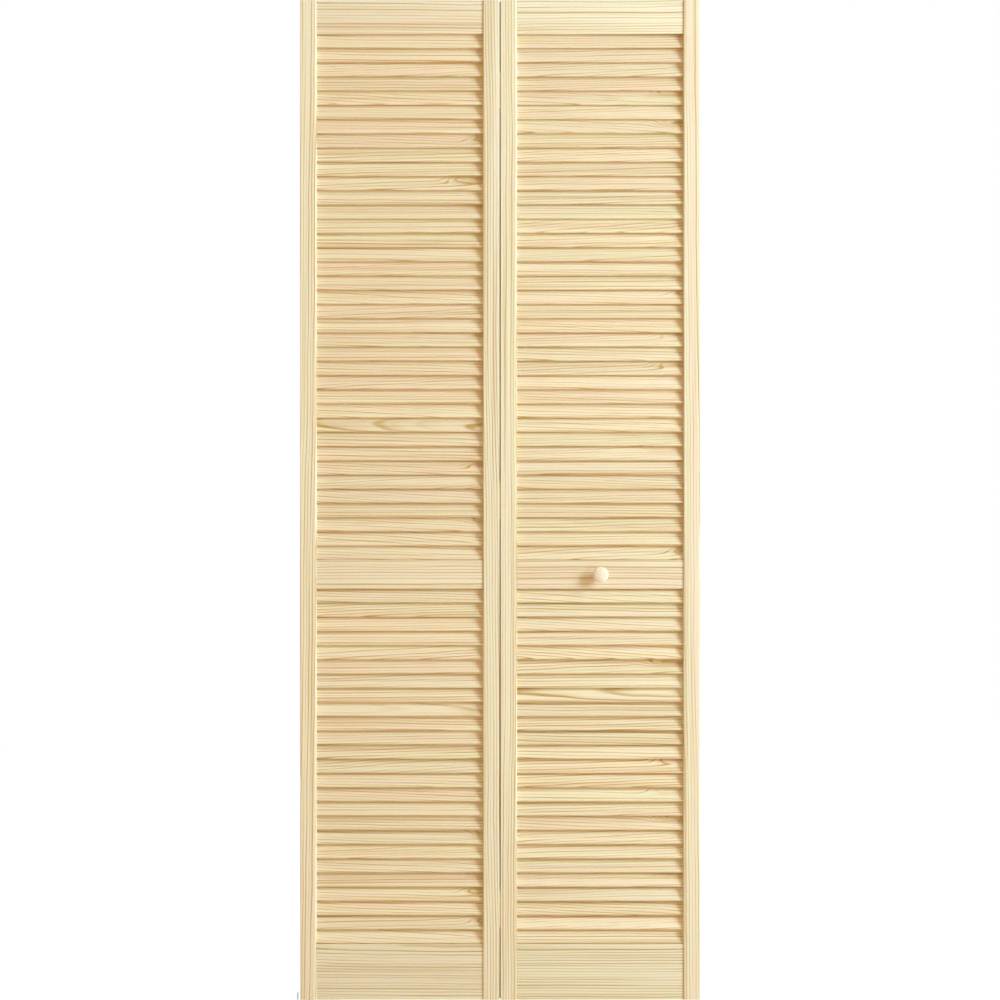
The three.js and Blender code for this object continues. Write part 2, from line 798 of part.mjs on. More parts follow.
// Bottom pivot: a steel pin with a hexagon to turn it by and a toothed foot in the jamb bracket
const footTipRadius = 5;
const footRootRadius = 4.3;
const footTeeth = 12;
const footLift = 0.8; // the foot's end above the floor
const bottomPinRadius = 3.8;
const bottomPinLength = 34; // inside its socket
const hexRadius = 8;
const hexThickness = 3;

function bottomSocket() {
  const bore = bottomPinRadius + runningGap;
  const top = bottomPinLength + runningGap;
  const profile = [
    [bore, -flangeThickness],
    [flangeRadius, -flangeThickness],
    [flangeRadius, -glueLine],
    [socketRadius, -glueLine],
    [socketRadius, socketLength],
    [0, socketLength],
    [0, top],
    [bore, top],
    [bore, -flangeThickness],
  ];
  return turned(profile, roundSides);
}

function toothedOutline() {
  return Array.from({ length: 2 * footTeeth }, (_, i) => {
    const angle = quarterTurn + (Math.PI * i) / footTeeth;
    const radius = i % 2 ? footRootRadius : footTipRadius;
    return new THREE.Vector2(radius * Math.cos(angle), radius * Math.sin(angle));
  });
}

function bottomPivotPin() {
  const hexTop = floorGap - flangeThickness - runningGap;
  const hexBottom = hexTop - hexThickness;
  const shaft = rod(bottomPinRadius, footLift, floorGap + bottomPinLength, roundSides);
  const hexagon = rod(hexRadius, hexBottom, hexTop, hexSides);
  return join(shaft, hexagon, alongZ(toothedOutline(), footLift, hexBottom - footLift + glueLine));
}

// Jamb bracket: pressed steel, screwed to the floor and the jamb, with a toothed slot for the pivot
const jambPlate = 1.6;
const jambBracketWidth = 28;
const jambLegHeight = 28;
const ridgeWidth = 19; // the raised strip that carries the slot
const ridgeHeight = 5.6;
const notchPitch = 2.6;
const slotHalfWidth = 4.6;
const notchDepth = 0.8;
const notchesToJamb = 3;
const notchesAway = 11;
const ridgeEnd = 6; // past the slot's far end
const floorTab = 20;
const jambHoleRadius = 2.4;
const jambHoleHead = 4.2;
const jambHoleHeight = 19;
const jambHoleSpacing = 16;

function serratedSlot() {
  const first = -notchesToJamb;
  const last = notchesAway;
  const edge = [];
  for (let i = first; i <= last; i += 1) {
    edge.push([(i - 0.5) * notchPitch, slotHalfWidth], [i * notchPitch, slotHalfWidth + notchDepth]);
  }
  edge.push([(last + 0.5) * notchPitch, slotHalfWidth]);
  const mirrored = edge.map(([x, y]) => [x, -y]).reverse();
  const outline = [...edge, ...mirrored].map(([x, y]) => new THREE.Vector2(x, y)).reverse();
  return alongZ(outline, -overrun, ridgeHeight + 2 * overrun);
}

// Built about the pivot's axis; the jamb is on the left.
function jambBracket() {
  const jamb = -(pivotInset + sideGap);
  const slotEnd = (notchesAway + 0.5) * notchPitch;
  const ridgeRight = slotEnd + ridgeEnd;
  const half = jambBracketWidth / 2;
  const ridgeHalf = ridgeWidth / 2;
  const base = block(jamb, ridgeRight + floorTab, -half, half, 0, jambPlate);
  const ridge = block(jamb, ridgeRight, -ridgeHalf, ridgeHalf, 0, ridgeHeight);
  const hollowHalf = ridgeHalf - jambPlate;
  const hollow = block(
    jamb + jambPlate,
    ridgeRight - jambPlate,
    -hollowHalf,
    hollowHalf,
    -overrun,
    ridgeHeight - jambPlate
  );
  const leg = block(jamb, jamb + jambPlate, -half, half, 0, jambLegHeight);
  const jambHoles = [-1, 1].map((sign) =>
    countersunkHole(jambHoleRadius, jambHoleHead, jambPlate)
      .rotateY(-quarterTurn)
      .translate(jamb + jambPlate, (sign * jambHoleSpacing) / 2, jambHoleHeight)
  );
  const floorHole = countersunkHole(jambHoleRadius, jambHoleHead, jambPlate)
    .rotateX(2 * quarterTurn)
    .translate(ridgeRight + floorTab / 2, 0, jambPlate);
  return cut(join(base, ridge, leg), hollow, serratedSlot(), ...jambHoles, floorHole);
}

// Assembly
const door = new THREE.Group();

const pivotPanel = panelFrame(-1, "pivot_panel");
const leadPanel = panelFrame(1, "lead_panel");
addKnob(leadPanel);
door.add(pivotPanel, leadPanel, ...hinges.map(hinge));

piece(door, "track", track(), aluminium);
piece(door, "top_pivot_bracket", topPivotBracket(), zincSteel).position.x = -pivotX;
piece(door, "top_pivot_lock_screw", lockScrew(), zincSteel).position.x = lockScrewDistance - pivotX;
piece(door, "jamb_bracket", jambBracket(), zincSteel).position.x = -pivotX;
piece(door, "bottom_pivot_pin", bottomPivotPin(), zincSteel).position.x = -pivotX;
piece(door, "bottom_pivot_socket", bottomSocket(), nylon).position.set(-pivotX, 0, floorGap);

for (const [name, side] of [["top_pivot", -1], ["guide", 1]]) {
  const group = new THREE.Group();
  group.position.set(side * pivotX, 0, doorTop);
  piece(group, `${name}_socket`, plungerSocket(), nylon);
  piece(group, `${name}_spring`, plungerSpring(`${name}_spring`), zincSteel);
  piece(group, `${name}_pin`, side < 0 ? topPivotPin() : guidePin(), zincSteel);
  if (side > 0) piece(group, "guide_wheel", guideWheel(), nylon);
  door.add(group);
}

export default door;
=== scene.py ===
"""A louvred pine bifold closet door: the finish of every piece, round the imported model."""

import math

import bmesh
import bpy
from mathutils import Matrix, Vector


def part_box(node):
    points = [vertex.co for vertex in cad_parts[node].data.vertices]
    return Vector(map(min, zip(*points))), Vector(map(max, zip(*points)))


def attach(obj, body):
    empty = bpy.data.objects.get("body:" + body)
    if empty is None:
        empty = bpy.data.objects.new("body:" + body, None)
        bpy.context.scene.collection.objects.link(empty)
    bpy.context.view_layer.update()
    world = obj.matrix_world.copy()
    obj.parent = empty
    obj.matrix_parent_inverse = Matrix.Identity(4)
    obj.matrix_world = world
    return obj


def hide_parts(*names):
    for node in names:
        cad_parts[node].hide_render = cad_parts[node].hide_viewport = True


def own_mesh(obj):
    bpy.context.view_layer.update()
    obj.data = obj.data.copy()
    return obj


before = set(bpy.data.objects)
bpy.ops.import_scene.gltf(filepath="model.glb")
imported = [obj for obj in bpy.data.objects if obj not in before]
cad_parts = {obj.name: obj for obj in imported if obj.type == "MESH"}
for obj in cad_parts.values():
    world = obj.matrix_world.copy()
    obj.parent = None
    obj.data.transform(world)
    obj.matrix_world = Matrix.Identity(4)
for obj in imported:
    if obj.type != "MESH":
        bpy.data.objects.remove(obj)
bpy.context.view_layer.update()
mm = 0.001

# Stiles: four full-height uprights of clear pine, rounded on the edges beside the slats and
# sanded. The outer ones keep the CAD shape, with its slots and bores. The two at the seam are
# parted here from the slats that the CAD node fuses with them.
STILE_TRIM = 0.02 * mm
STILE_REACH = 20 * mm
SMOOTH_ANGLE = math.radians(40)
FLAT_ANGLE = math.radians(0.5)
MERGE_DISTANCE = 1e-6
EDGE_SEGMENTS = 2
FLAT_FACE_WEIGHT = 100
OUTER_STILE_BOARD = 1.3

PINE_LIGHT = (248, 237, 208)
PINE_LATE = (202, 163, 96)
PINE_ROSY = (248, 219, 186)
PINE_GREENISH = (240, 235, 190)
RING_SPACING = 5.6 * mm


def linear(red, green, blue):
    """A colour given in sRGB bytes, as the shaders want it."""
    def one(byte):
        share = byte / 255
        return share / 12.92 if share <= 0.04045 else ((share + 0.055) / 1.055) ** 2.4
    return (one(red), one(green), one(blue), 1.0)


def add(tree, kind, sockets=None, **settings):
    """Adds a node. A socket takes a value, or a link where it is given another node's output."""
    node = tree.nodes.new(kind)
    for name, value in settings.items():
        setattr(node, name, value)
    for key, value in (sockets or {}).items():
        if isinstance(value, bpy.types.NodeSocket):
            tree.links.new(value, node.inputs[key])
        else:
            node.inputs[key].default_value = value
    return node


def calculate(tree, operation, *values):
    """A Math node's output."""
    return add(tree, "ShaderNodeMath", dict(enumerate(values)), operation=operation).outputs[0]


def interface(tree, inputs, outputs):
    """Gives a node tree its named sockets, and returns its Group Input and Group Output."""
    for direction, sockets in (("INPUT", inputs), ("OUTPUT", outputs)):
        for name, (kind, value) in sockets.items():
            socket = tree.interface.new_socket(name, in_out=direction, socket_type=kind)
            if value is not None:
                socket.default_value = value
    return tree.nodes.new("NodeGroupInput"), tree.nodes.new("NodeGroupOutput")


# What sets one board apart from the next.
DRAW_OFFSETS = (0.0, 3.7, 9.1, 17.3)
BOARD_SHIFT = 37.0
# The pith lies far off beside a quarter-sawn board, and close behind a flat-sawn one.
PITH_FAR = (45 * mm, 150 * mm)
PITH_NEAR_ACROSS = (-8 * mm, 8 * mm)
PITH_QUARTER_DEPTH = (-45 * mm, 45 * mm)
PITH_FLAT_DEPTH = (14 * mm, 40 * mm)
PITH_DEPTH_SLANT = 0.9
# The growth rings: how they wander, and how dark the wood is from one to the next.
RING_WANDER = (-7 * mm, 7 * mm)
RING_RIPPLE = (-2.2 * mm, 2.2 * mm)
RING_PROFILE = ((0.0, 0.0), (0.2, 0.0), (0.55, 0.15), (0.84, 1.0), (1.0, 0.0))
RING_STRENGTHS = (0.3, 1.15)
STREAKS = (-0.75, 0.75)
FIBRES = (-0.16, 0.16)
# A swirl is the grain's way round a knot that was cut off, near one end of a board.
SWIRL_PLACES = (0.06, 0.13)
SWIRL_HEIGHTS = (2 * mm, 14 * mm)
SWIRL_LENGTH = 60 * mm
SWIRL_BREADTH = 9 * mm
SWIRL_RISE = 16 * mm
SWIRL_DARKENING = 0.4
# The tints of the pale wood, which run along it in bands.
ROSY_WEIGHTS = (0.0, 0.45)
ROSY_BANDS = (-0.5, 2.2)
GREENISH_WEIGHTS = (0.2, 0.9)
GREENISH_BANDS = (1.4, -0.9)
BOARD_TONES = (0.96, 1.03)
WOOD_ROUGHNESS = (0.62, 0.52)
LATE_RELIEF = 0.6
# Each noise: its waves a metre along, across and into the board, its detail and its own shift.
WANDER_NOISE = ((2.0, 8.0, 8.0), 1.0, 0.0)
RIPPLE_NOISE = ((9.0, 45.0, 45.0), 1.0, 5.0)
FIBRE_NOISE = ((7.0, 700.0, 700.0), 2.0, 0.0)
STREAK_NOISE = ((1.6, 210.0, 210.0), 1.0, 11.0)
BAND_NOISE = ((1.5, 90.0, 90.0), 1.0, 23.0)


def make_grain_group():
    """Softwood grain: growth rings about a pith that lies outside each board, at its own slant."""
    tree = bpy.data.node_groups.new("pine_grain", "ShaderNodeTree")
    start, end = interface(
        tree,
        {
            "Along": ("NodeSocketVector", None),
            "Board": ("NodeSocketFloat", None),
            "Ring spacing": ("NodeSocketFloat", RING_SPACING),
            "Flat sawn": ("NodeSocketFloat", None),
            "Slant": ("NodeSocketFloat", None),
            "Swirls": ("NodeSocketFloat", None),
            "Light": ("NodeSocketColor", linear(*PINE_LIGHT)),
            "Late": ("NodeSocketColor", linear(*PINE_LATE)),
        },
        {
            "Color": ("NodeSocketColor", None),
            "Roughness": ("NodeSocketFloat", None),
            "Height": ("NodeSocketFloat", None),
        },
    )
    given = start.outputs

    def chance(offset):
        seed = calculate(tree, "ADD", given["Board"], offset)
        noise = add(tree, "ShaderNodeTexWhiteNoise", {"W": seed}, noise_dimensions="1D")
        return add(tree, "ShaderNodeSeparateColor", {"Color": noise.outputs["Color"]}).outputs

    def spread(value, low, high):
        sockets = {"Value": value, "To Min": low, "To Max": high}
        return add(tree, "ShaderNodeMapRange", sockets).outputs["Result"]

    def mirrored(value, reach):
        return spread(value, calculate(tree, "MULTIPLY", reach, -1.0), reach)

    def plus(a, b):
        return calculate(tree, "ADD", a, b)

    def times(a, b):
        return calculate(tree, "MULTIPLY", a, b)

    first, second, third, fourth = map(chance, DRAW_OFFSETS)
    shift = times(given["Board"], BOARD_SHIFT)

    def noise(waves, detail, offset):
        sockets = {0: given["Along"], 1: waves}
        stretched = add(tree, "ShaderNodeVectorMath", sockets, operation="MULTIPLY")
        moved = plus(shift, offset)
        sockets = {"Vector": stretched.outputs[0], "W": moved, "Scale": 1.0, "Detail": detail}
        return add(tree, "ShaderNodeTexNoise", sockets, noise_dimensions="4D").outputs[0]

    place = add(tree, "ShaderNodeSeparateXYZ", {0: given["Along"]}).outputs
    is_flat = calculate(tree, "LESS_THAN", first[0], given["Flat sawn"])
    quartered = calculate(tree, "SUBTRACT", 1.0, is_flat)
    side = calculate(tree, "SIGN", calculate(tree, "SUBTRACT", first[1], 0.5))
    far_across = times(side, spread(first[2], *PITH_FAR))
    near_across = spread(first[2], *PITH_NEAR_ACROSS)
    pith_across = plus(times(far_across, quartered), times(near_across, is_flat))
    pith_depth = plus(
        times(spread(second[2], *PITH_QUARTER_DEPTH), quartered),
        times(spread(second[2], *PITH_FLAT_DEPTH), is_flat),
    )
    across = plus(plus(place[1], pith_across), times(place[0], mirrored(second[0], given["Slant"])))
    depth_slant = mirrored(second[1], times(given["Slant"], PITH_DEPTH_SLANT))
    depth = plus(plus(place[2], pith_depth), times(place[0], depth_slant))
    radius = calculate(tree, "SQRT", plus(times(across, across), times(depth, depth)))
    radius = plus(radius, spread(noise(*WANDER_NOISE), *RING_WANDER))
    radius = plus(radius, spread(noise(*RIPPLE_NOISE), *RING_RIPPLE))

    swirl_along = calculate(tree, "SUBTRACT", place[0], spread(fourth[0], *SWIRL_PLACES))
    swirl_across = calculate(tree, "SUBTRACT", place[1], spread(fourth[1], *SWIRL_HEIGHTS))
    swirl_across = calculate(tree, "DIVIDE", swirl_across, SWIRL_BREADTH)
    swirl = calculate(tree, "EXPONENT", times(times(swirl_across, swirl_across), -1.0))
    sockets = {"Value": swirl_along, "From Max": SWIRL_LENGTH}
    bend = add(tree, "ShaderNodeMapRange", sockets, interpolation_type="SMOOTHSTEP")
    has_swirl = calculate(tree, "LESS_THAN", fourth[2], given["Swirls"])
    swirl = times(times(swirl, bend.outputs["Result"]), has_swirl)
    radius = plus(radius, times(swirl, SWIRL_RISE))

    ring = calculate(tree, "DIVIDE", radius, given["Ring spacing"])
    profile = add(tree, "ShaderNodeValToRGB", {"Fac": calculate(tree, "FRACT", ring)})
    ramp = profile.color_ramp
    ramp.interpolation = "EASE"
    ramp.elements.remove(ramp.elements[1])
    for share, value in RING_PROFILE:
        stop = ramp.elements[0] if share == 0 else ramp.elements.new(share)
        stop.color = (value, value, value, 1.0)
    number = calculate(tree, "FLOOR", ring)
    each = add(tree, "ShaderNodeTexWhiteNoise", {"W": number}, noise_dimensions="1D").outputs[0]
    late = times(profile.outputs["Color"], spread(each, *RING_STRENGTHS))

    fibres = noise(*FIBRE_NOISE)
    streaks = noise(*STREAK_NOISE)
    late = plus(late, spread(streaks, *STREAKS))
    late = plus(late, spread(fibres, *FIBRES))
    late = plus(late, times(swirl, SWIRL_DARKENING))
    late = add(tree, "ShaderNodeClamp", {"Value": late}).outputs[0]

    def blend(factor, a, b):
        sockets = {"Factor": factor, 6: a, 7: b}
        return add(tree, "ShaderNodeMix", sockets, data_type="RGBA").outputs[2]

    bands = noise(*BAND_NOISE)
    rosy = times(spread(third[0], *ROSY_WEIGHTS), spread(bands, *ROSY_BANDS))
    greenish = times(spread(bands, *GREENISH_BANDS), spread(third[1], *GREENISH_WEIGHTS))
    light = blend(rosy, given["Light"], linear(*PINE_ROSY))
    light = blend(greenish, light, linear(*PINE_GREENISH))
    wood = blend(late, light, given["Late"])
    tone = spread(third[2], *BOARD_TONES)
    dimmed = add(tree, "ShaderNodeVectorMath", {0: wood, "Scale": tone}, operation="SCALE")
    tree.links.new(dimmed.outputs[0], end.inputs["Color"])
    tree.links.new(spread(late, *WOOD_ROUGHNESS), end.inputs["Roughness"])
    tree.links.new(plus(times(late, LATE_RELIEF), fibres), end.inputs["Height"])
    return tree


GRAIN_GROUP = make_grain_group()
GRAIN_BUMP = 0.12 * mm
GRAIN_BUMP_STRENGTH = 0.5
PINE_SPECULAR = 0.15
PINE_GLOW = 0.4
PINE_GLOW_REACH = (4.5 * mm, 2.2 * mm, 0.8 * mm)


def new_material(name):
    """A material with nodes, its tree and its shader."""
    material = bpy.data.materials.new(name)
    material.use_nodes = True
    tree = material.node_tree
    return material, tree, tree.nodes["Principled BSDF"]


def dress(tree, shader, group, strength, distance):
    """Gives a shader the colour, the roughness and the relief that a node group puts out."""
    relief = {"Strength": strength, "Distance": distance, "Height": group.outputs["Height"]}
    bump = add(tree, "ShaderNodeBump", relief)
    tree.links.new(group.outputs["Color"], shader.inputs["Base Color"])
    tree.links.new(group.outputs["Roughness"], shader.inputs["Roughness"])
    tree.links.new(bump.outputs["Normal"], shader.inputs["Normal"])


def let_light_in(shader, weight, reach):
    """Lets light into a pale material, and out again within a reach for each colour."""
    shader.inputs["Subsurface Weight"].default_value = weight
    shader.inputs["Subsurface Radius"].default_value = reach
    shader.inputs["Subsurface Scale"].default_value = 1.0


def make_pine(name, **grain_values):
    """Bare, sanded pine with the grain of the board that it is cut from."""
    material, tree, shader = new_material(name)
    along = add(tree, "ShaderNodeAttribute", attribute_name="grain_space")
    board = add(tree, "ShaderNodeAttribute", attribute_name="board")
    sockets = {"Along": along.outputs["Vector"], "Board": board.outputs["Fac"]}
    for key, value in grain_values.items():
        sockets[key.replace("_", " ").capitalize()] = value
    grain = add(tree, "ShaderNodeGroup", sockets, node_tree=GRAIN_GROUP)
    dress(tree, shader, grain, GRAIN_BUMP_STRENGTH, GRAIN_BUMP)
    shader.inputs["Specular IOR Level"].default_value = PINE_SPECULAR
    let_light_in(shader, PINE_GLOW, PINE_GLOW_REACH)
    return material


PINE_FRAME = make_pine("pine_frame", flat_sawn=0.0, slant=0.012, swirls=0.0)


def new_object(name, data, material=None):
    """An object in the scene, with one material where it is given one."""
    thing = bpy.data.objects.new(name, data)
    bpy.context.scene.collection.objects.link(thing)
    if material:
        data.materials.clear()
        data.materials.append(material)
    return thing


def mesh_of(shaped, name):
    """The mesh of a finished shape."""
    mesh = bpy.data.meshes.new(name)
    shaped.to_mesh(mesh)
    shaped.free()
    return mesh


def plain(thing):
    """The object with its modifiers made into its mesh."""
    bpy.context.view_layer.update()
    evaluated = thing.evaluated_get(bpy.context.evaluated_depsgraph_get())
    mesh = bpy.data.meshes.new_from_object(evaluated)
    thing.modifiers.clear()
    thing.data = mesh
    return thing


def shade(mesh, angle=SMOOTH_ANGLE):
    """Smooth shading that stops at every edge sharper than an angle."""
    shaped = bmesh.new()
    shaped.from_mesh(mesh)
    for face in shaped.faces:
        face.smooth = True
    for edge in shaped.edges:
        edge.smooth = edge.is_manifold and edge.calc_face_angle(0.0) < angle
    shaped.to_mesh(mesh)
    shaped.free()


def even_normals(thing):
    """Keeps flat faces flat beside rounded ones."""
    shade(thing.data)
    weights = thing.modifiers.new("normals", "WEIGHTED_NORMAL")
    weights.mode = "FACE_AREA"
    weights.weight = FLAT_FACE_WEIGHT
    weights.keep_sharp = True
    return plain(thing)


def copy_of(node, name, material, edge=0.0):
    """A CAD node's shape as a new piece: triangles merged, flat faces joined and edges broken."""
    shaped = bmesh.new()
    shaped.from_mesh(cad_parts[node].data)
    bmesh.ops.remove_doubles(shaped, verts=shaped.verts, dist=MERGE_DISTANCE)
    bmesh.ops.dissolve_limit(
        shaped, angle_limit=FLAT_ANGLE, verts=shaped.verts, edges=shaped.edges
    )
    thing = new_object(name, mesh_of(shaped, name), material)
    if edge:
        bevel = thing.modifiers.new("edge", "BEVEL")
        bevel.width = edge
        bevel.segments = EDGE_SEGMENTS
        bevel.limit_method = "ANGLE"
        bevel.angle_limit = SMOOTH_ANGLE
        plain(thing)
    return even_normals(thing)


def grow(thing, along, board):
    """Gives a piece the wood of one board, its grain along the "x", "y" or "z" axis."""
    points = [vertex.co for vertex in thing.data.vertices]
    low = Vector(map(min, *points))
    high = Vector(map(max, *points))
    places = []
    order = {"x": (0, 2, 1), "y": (1, 0, 2), "z": (2, 0, 1)}[along]
    for place in (point - (low + high) / 2 for point in points):
        places += (place[axis] for axis in order)
    for name in ("grain_space", "board"):
        if name in thing.data.attributes:
            thing.data.attributes.remove(thing.data.attributes[name])
    space = thing.data.attributes.new("grain_space", "FLOAT_VECTOR", "POINT")
    space.data.foreach_set("vector", places)
    seed = thing.data.attributes.new("board", "FLOAT", "POINT")
    seed.data.foreach_set("value", [board] * len(points))
    return thing


PANELS = {"pivot_panel": -1, "lead_panel": 1}
RAILS = ("bottom_rail", "middle_rail", "top_rail")
hinge_stiles = {}


def cutting_block(low, high):
    """A block from one corner to the other, to cut a piece with."""
    shaped = bmesh.new()
    bmesh.ops.create_cube(shaped, size=1.0)
    middle = (Vector(low) + Vector(high)) / 2
    size = Vector(high) - Vector(low)
    bmesh.ops.scale(shaped, vec=size, verts=shaped.verts)
    bmesh.ops.translate(shaped, vec=middle, verts=shaped.verts)
    return new_object("block", mesh_of(shaped, "block"))


def cut(thing, cutter, operation="DIFFERENCE"):
    """Takes the cutter's shape out of a piece, or keeps what lies inside it."""
    hole = thing.modifiers.new("cut", "BOOLEAN")
    hole.operation = operation
    hole.solver = "EXACT"
    hole.object = cutter
    plain(thing)
    bpy.data.objects.remove(cutter)


for panel, side in PANELS.items():
    outer_node = f"{panel}_outer_stile"
    outer_stile = copy_of(outer_node, f"{outer_node}_wood", PINE_FRAME)
    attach(grow(outer_stile, "z", OUTER_STILE_BOARD + side), panel)
    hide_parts(outer_node)

    fused_node = f"{panel}_hinge_stile_with_slats"
    hinge_stile = copy_of(fused_node, f"{panel}_hinge_stile_wood", PINE_FRAME)
    outer_low, outer_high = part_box(outer_node)
    rail_low, rail_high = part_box(f"{panel}_{RAILS[0]}")
    outer_inside = outer_high[0] if side < 0 else outer_low[0]
    hinge_inside = rail_low[0] + rail_high[0] - outer_inside - side * STILE_TRIM
    stile_ends = sorted((hinge_inside, -side * STILE_REACH))
    low = (stile_ends[0], outer_low[1] - STILE_REACH, outer_low[2] - STILE_REACH)
    high = (stile_ends[1], outer_high[1] + STILE_REACH, outer_high[2] + STILE_REACH)
    cut(hinge_stile, cutting_block(low, high), "INTERSECT")
    hinge_stiles[panel] = hinge_stile

# Rails: six boards across the panels, thinner than the stiles, with a stub tenon at each end.
# They keep the CAD shape, with sanded edges.
RAIL_EDGE = 0.4 * mm
RAIL_BOARD = 5.1
RAIL_BOARD_STEP = 3.3

for panel, side in PANELS.items():
    for place, rail_name in enumerate(RAILS):
        rail_node = f"{panel}_{rail_name}"
        rail = copy_of(rail_node, f"{rail_node}_wood", PINE_FRAME, RAIL_EDGE)
        board = RAIL_BOARD + place + RAIL_BOARD_STEP * side
        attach(grow(rail, "x", board), panel)
        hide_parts(rail_node)

# Slats: 62 in each panel, of 6.4 mm pine with round edges. They lean with their lower edge to the
# room, lap like shingles and are glued into slots in the stiles. Each is cut from its own board.
SLAT_WIDTH = 35 * mm
SLAT_THICKNESS = 6.4 * mm
SLAT_LEAN = math.radians(24)
SLAT_SPACING = 28.45 * mm
SLAT_FOOT_GAP = 0.3 * mm
SLAT_PLAY = 0.1 * mm
SLAT_NOSE_STEPS = 6
SLAT_NOSE_SHARE = 0.498
SLAT_LEAN_PLAY = math.radians(0.45)
SLAT_BOARD_STEP = 0.37
SLAT_SEED = 11
BANK_SEED_STEP = 100.0
HINGE_STILE_BOARD = 2.6
SLAT_LIGHT = (244, 231, 198)
SLAT_LATE = (201, 160, 86)

PINE_SLATS = make_pine(
    "pine_slats",
    light=linear(*SLAT_LIGHT),
    late=linear(*SLAT_LATE),
    flat_sawn=0.04,
    slant=0.06,
    swirls=0.2,
)
slat_half_height = (SLAT_WIDTH - SLAT_THICKNESS) / 2 * math.cos(SLAT_LEAN) + SLAT_THICKNESS / 2


def close_tree(tree, shape, material, end):
    """Ends a tree: its instances are made real and get their material."""
    solid = add(tree, "GeometryNodeRealizeInstances", {"Geometry": shape.outputs[0]})
    dressed = {"Geometry": solid.outputs[0], "Material": material}
    dressed = add(tree, "GeometryNodeSetMaterial", dressed)
    tree.links.new(dressed.outputs[0], end.inputs[0])


def make_slat_tree():
    """Two banks of slats, one above the other, each a row of the same moulded bar."""
    tree = bpy.data.node_groups.new("louvre_slats", "GeometryNodeTree")
    sizes = {
        "Length": ("NodeSocketFloat", None),
        "Width": ("NodeSocketFloat", SLAT_WIDTH),
        "Thickness": ("NodeSocketFloat", SLAT_THICKNESS),
        "Lean": ("NodeSocketFloat", SLAT_LEAN),
        "Lean play": ("NodeSocketFloat", SLAT_LEAN_PLAY),
        "Centre": ("NodeSocketFloat", None),
        "Seed": ("NodeSocketInt", SLAT_SEED),
        "Wood": ("NodeSocketMaterial", None),
    }
    for bank in ("Lower", "Upper"):
        sizes[f"{bank} count"] = ("NodeSocketInt", None)
        sizes[f"{bank} first"] = ("NodeSocketFloat", None)
        sizes[f"{bank} spacing"] = ("NodeSocketFloat", SLAT_SPACING)
    start, end = interface(tree, sizes, {"Geometry": ("NodeSocketGeometry", None)})
    given = start.outputs

    def vector(x=0.0, y=0.0, z=0.0):
        return add(tree, "ShaderNodeCombineXYZ", {0: x, 1: y, 2: z}).outputs[0]

    half_length = calculate(tree, "DIVIDE", given["Length"], 2.0)
    left_end = vector(calculate(tree, "MULTIPLY", half_length, -1.0))
    spine = {"Start": left_end, "End": vector(half_length)}
    spine = add(tree, "GeometryNodeCurvePrimitiveLine", spine)
    section = {"Width": given["Thickness"], "Height": given["Width"]}
    section = add(tree, "GeometryNodeCurvePrimitiveQuadrilateral", section)
    nose_radius = calculate(tree, "MULTIPLY", given["Thickness"], SLAT_NOSE_SHARE)
    nose = {"Curve": section.outputs[0], "Radius": nose_radius, "Count": SLAT_NOSE_STEPS}
    nose = add(tree, "GeometryNodeFilletCurve", nose, mode="POLY")
    bar = {"Curve": spine.outputs[0], "Profile Curve": nose.outputs[0], "Fill Caps": True}
    bar = add(tree, "GeometryNodeCurveToMesh", bar)
    position = add(tree, "GeometryNodeInputPosition")
    place = add(tree, "ShaderNodeSeparateXYZ", {0: position.outputs[0]}).outputs
    wood_space = vector(place[0], place[2], place[1])
    bar = {"Geometry": bar.outputs[0], "Name": "grain_space", "Value": wood_space}
    bar = add(
        tree, "GeometryNodeStoreNamedAttribute", bar, data_type="FLOAT_VECTOR", domain="POINT"
    )
    banks = add(tree, "GeometryNodeJoinGeometry")
    for number, bank in enumerate(("Lower", "Upper")):
        row = {
            "Count": given[f"{bank} count"],
            "Start Location": vector(x=given["Centre"], z=given[f"{bank} first"]),
            "Offset": vector(z=given[f"{bank} spacing"]),
        }
        row = add(tree, "GeometryNodeMeshLine", row)
        seed = calculate(tree, "ADD", given["Seed"], number * BANK_SEED_STEP)
        least_play = calculate(tree, "MULTIPLY", given["Lean play"], -1.0)
        play = {2: least_play, 3: given["Lean play"], "Seed": seed}
        play = add(tree, "FunctionNodeRandomValue", play, data_type="FLOAT")
        lean = calculate(tree, "SUBTRACT", play.outputs[1], given["Lean"])
        slats = {"Points": row.outputs[0], "Instance": bar.outputs[0], "Rotation": vector(lean)}
        slats = add(tree, "GeometryNodeInstanceOnPoints", slats)
        index = add(tree, "GeometryNodeInputIndex").outputs[0]
        board = calculate(tree, "MULTIPLY_ADD", index, SLAT_BOARD_STEP, seed)
        slats = {"Geometry": slats.outputs[0], "Name": "board", "Value": board}
        slats = add(
            tree, "GeometryNodeStoreNamedAttribute", slats, data_type="FLOAT", domain="INSTANCE"
        )
        tree.links.new(slats.outputs[0], banks.inputs[0])
    close_tree(tree, banks, given["Wood"], end)
    return tree


def grown_by(name, tree, values, points=()):
    """The plain mesh that a geometry node tree makes with these values, on points if it has any."""
    mesh = bpy.data.meshes.new(name)
    mesh.from_pydata(points, [], [])
    thing = new_object(name, mesh)
    nodes = thing.modifiers.new("make", "NODES")
    nodes.node_group = tree
    for socket in tree.interface.items_tree:
        if socket.in_out == "INPUT" and socket.name in values:
            nodes[socket.identifier] = values[socket.name]
    return plain(thing)


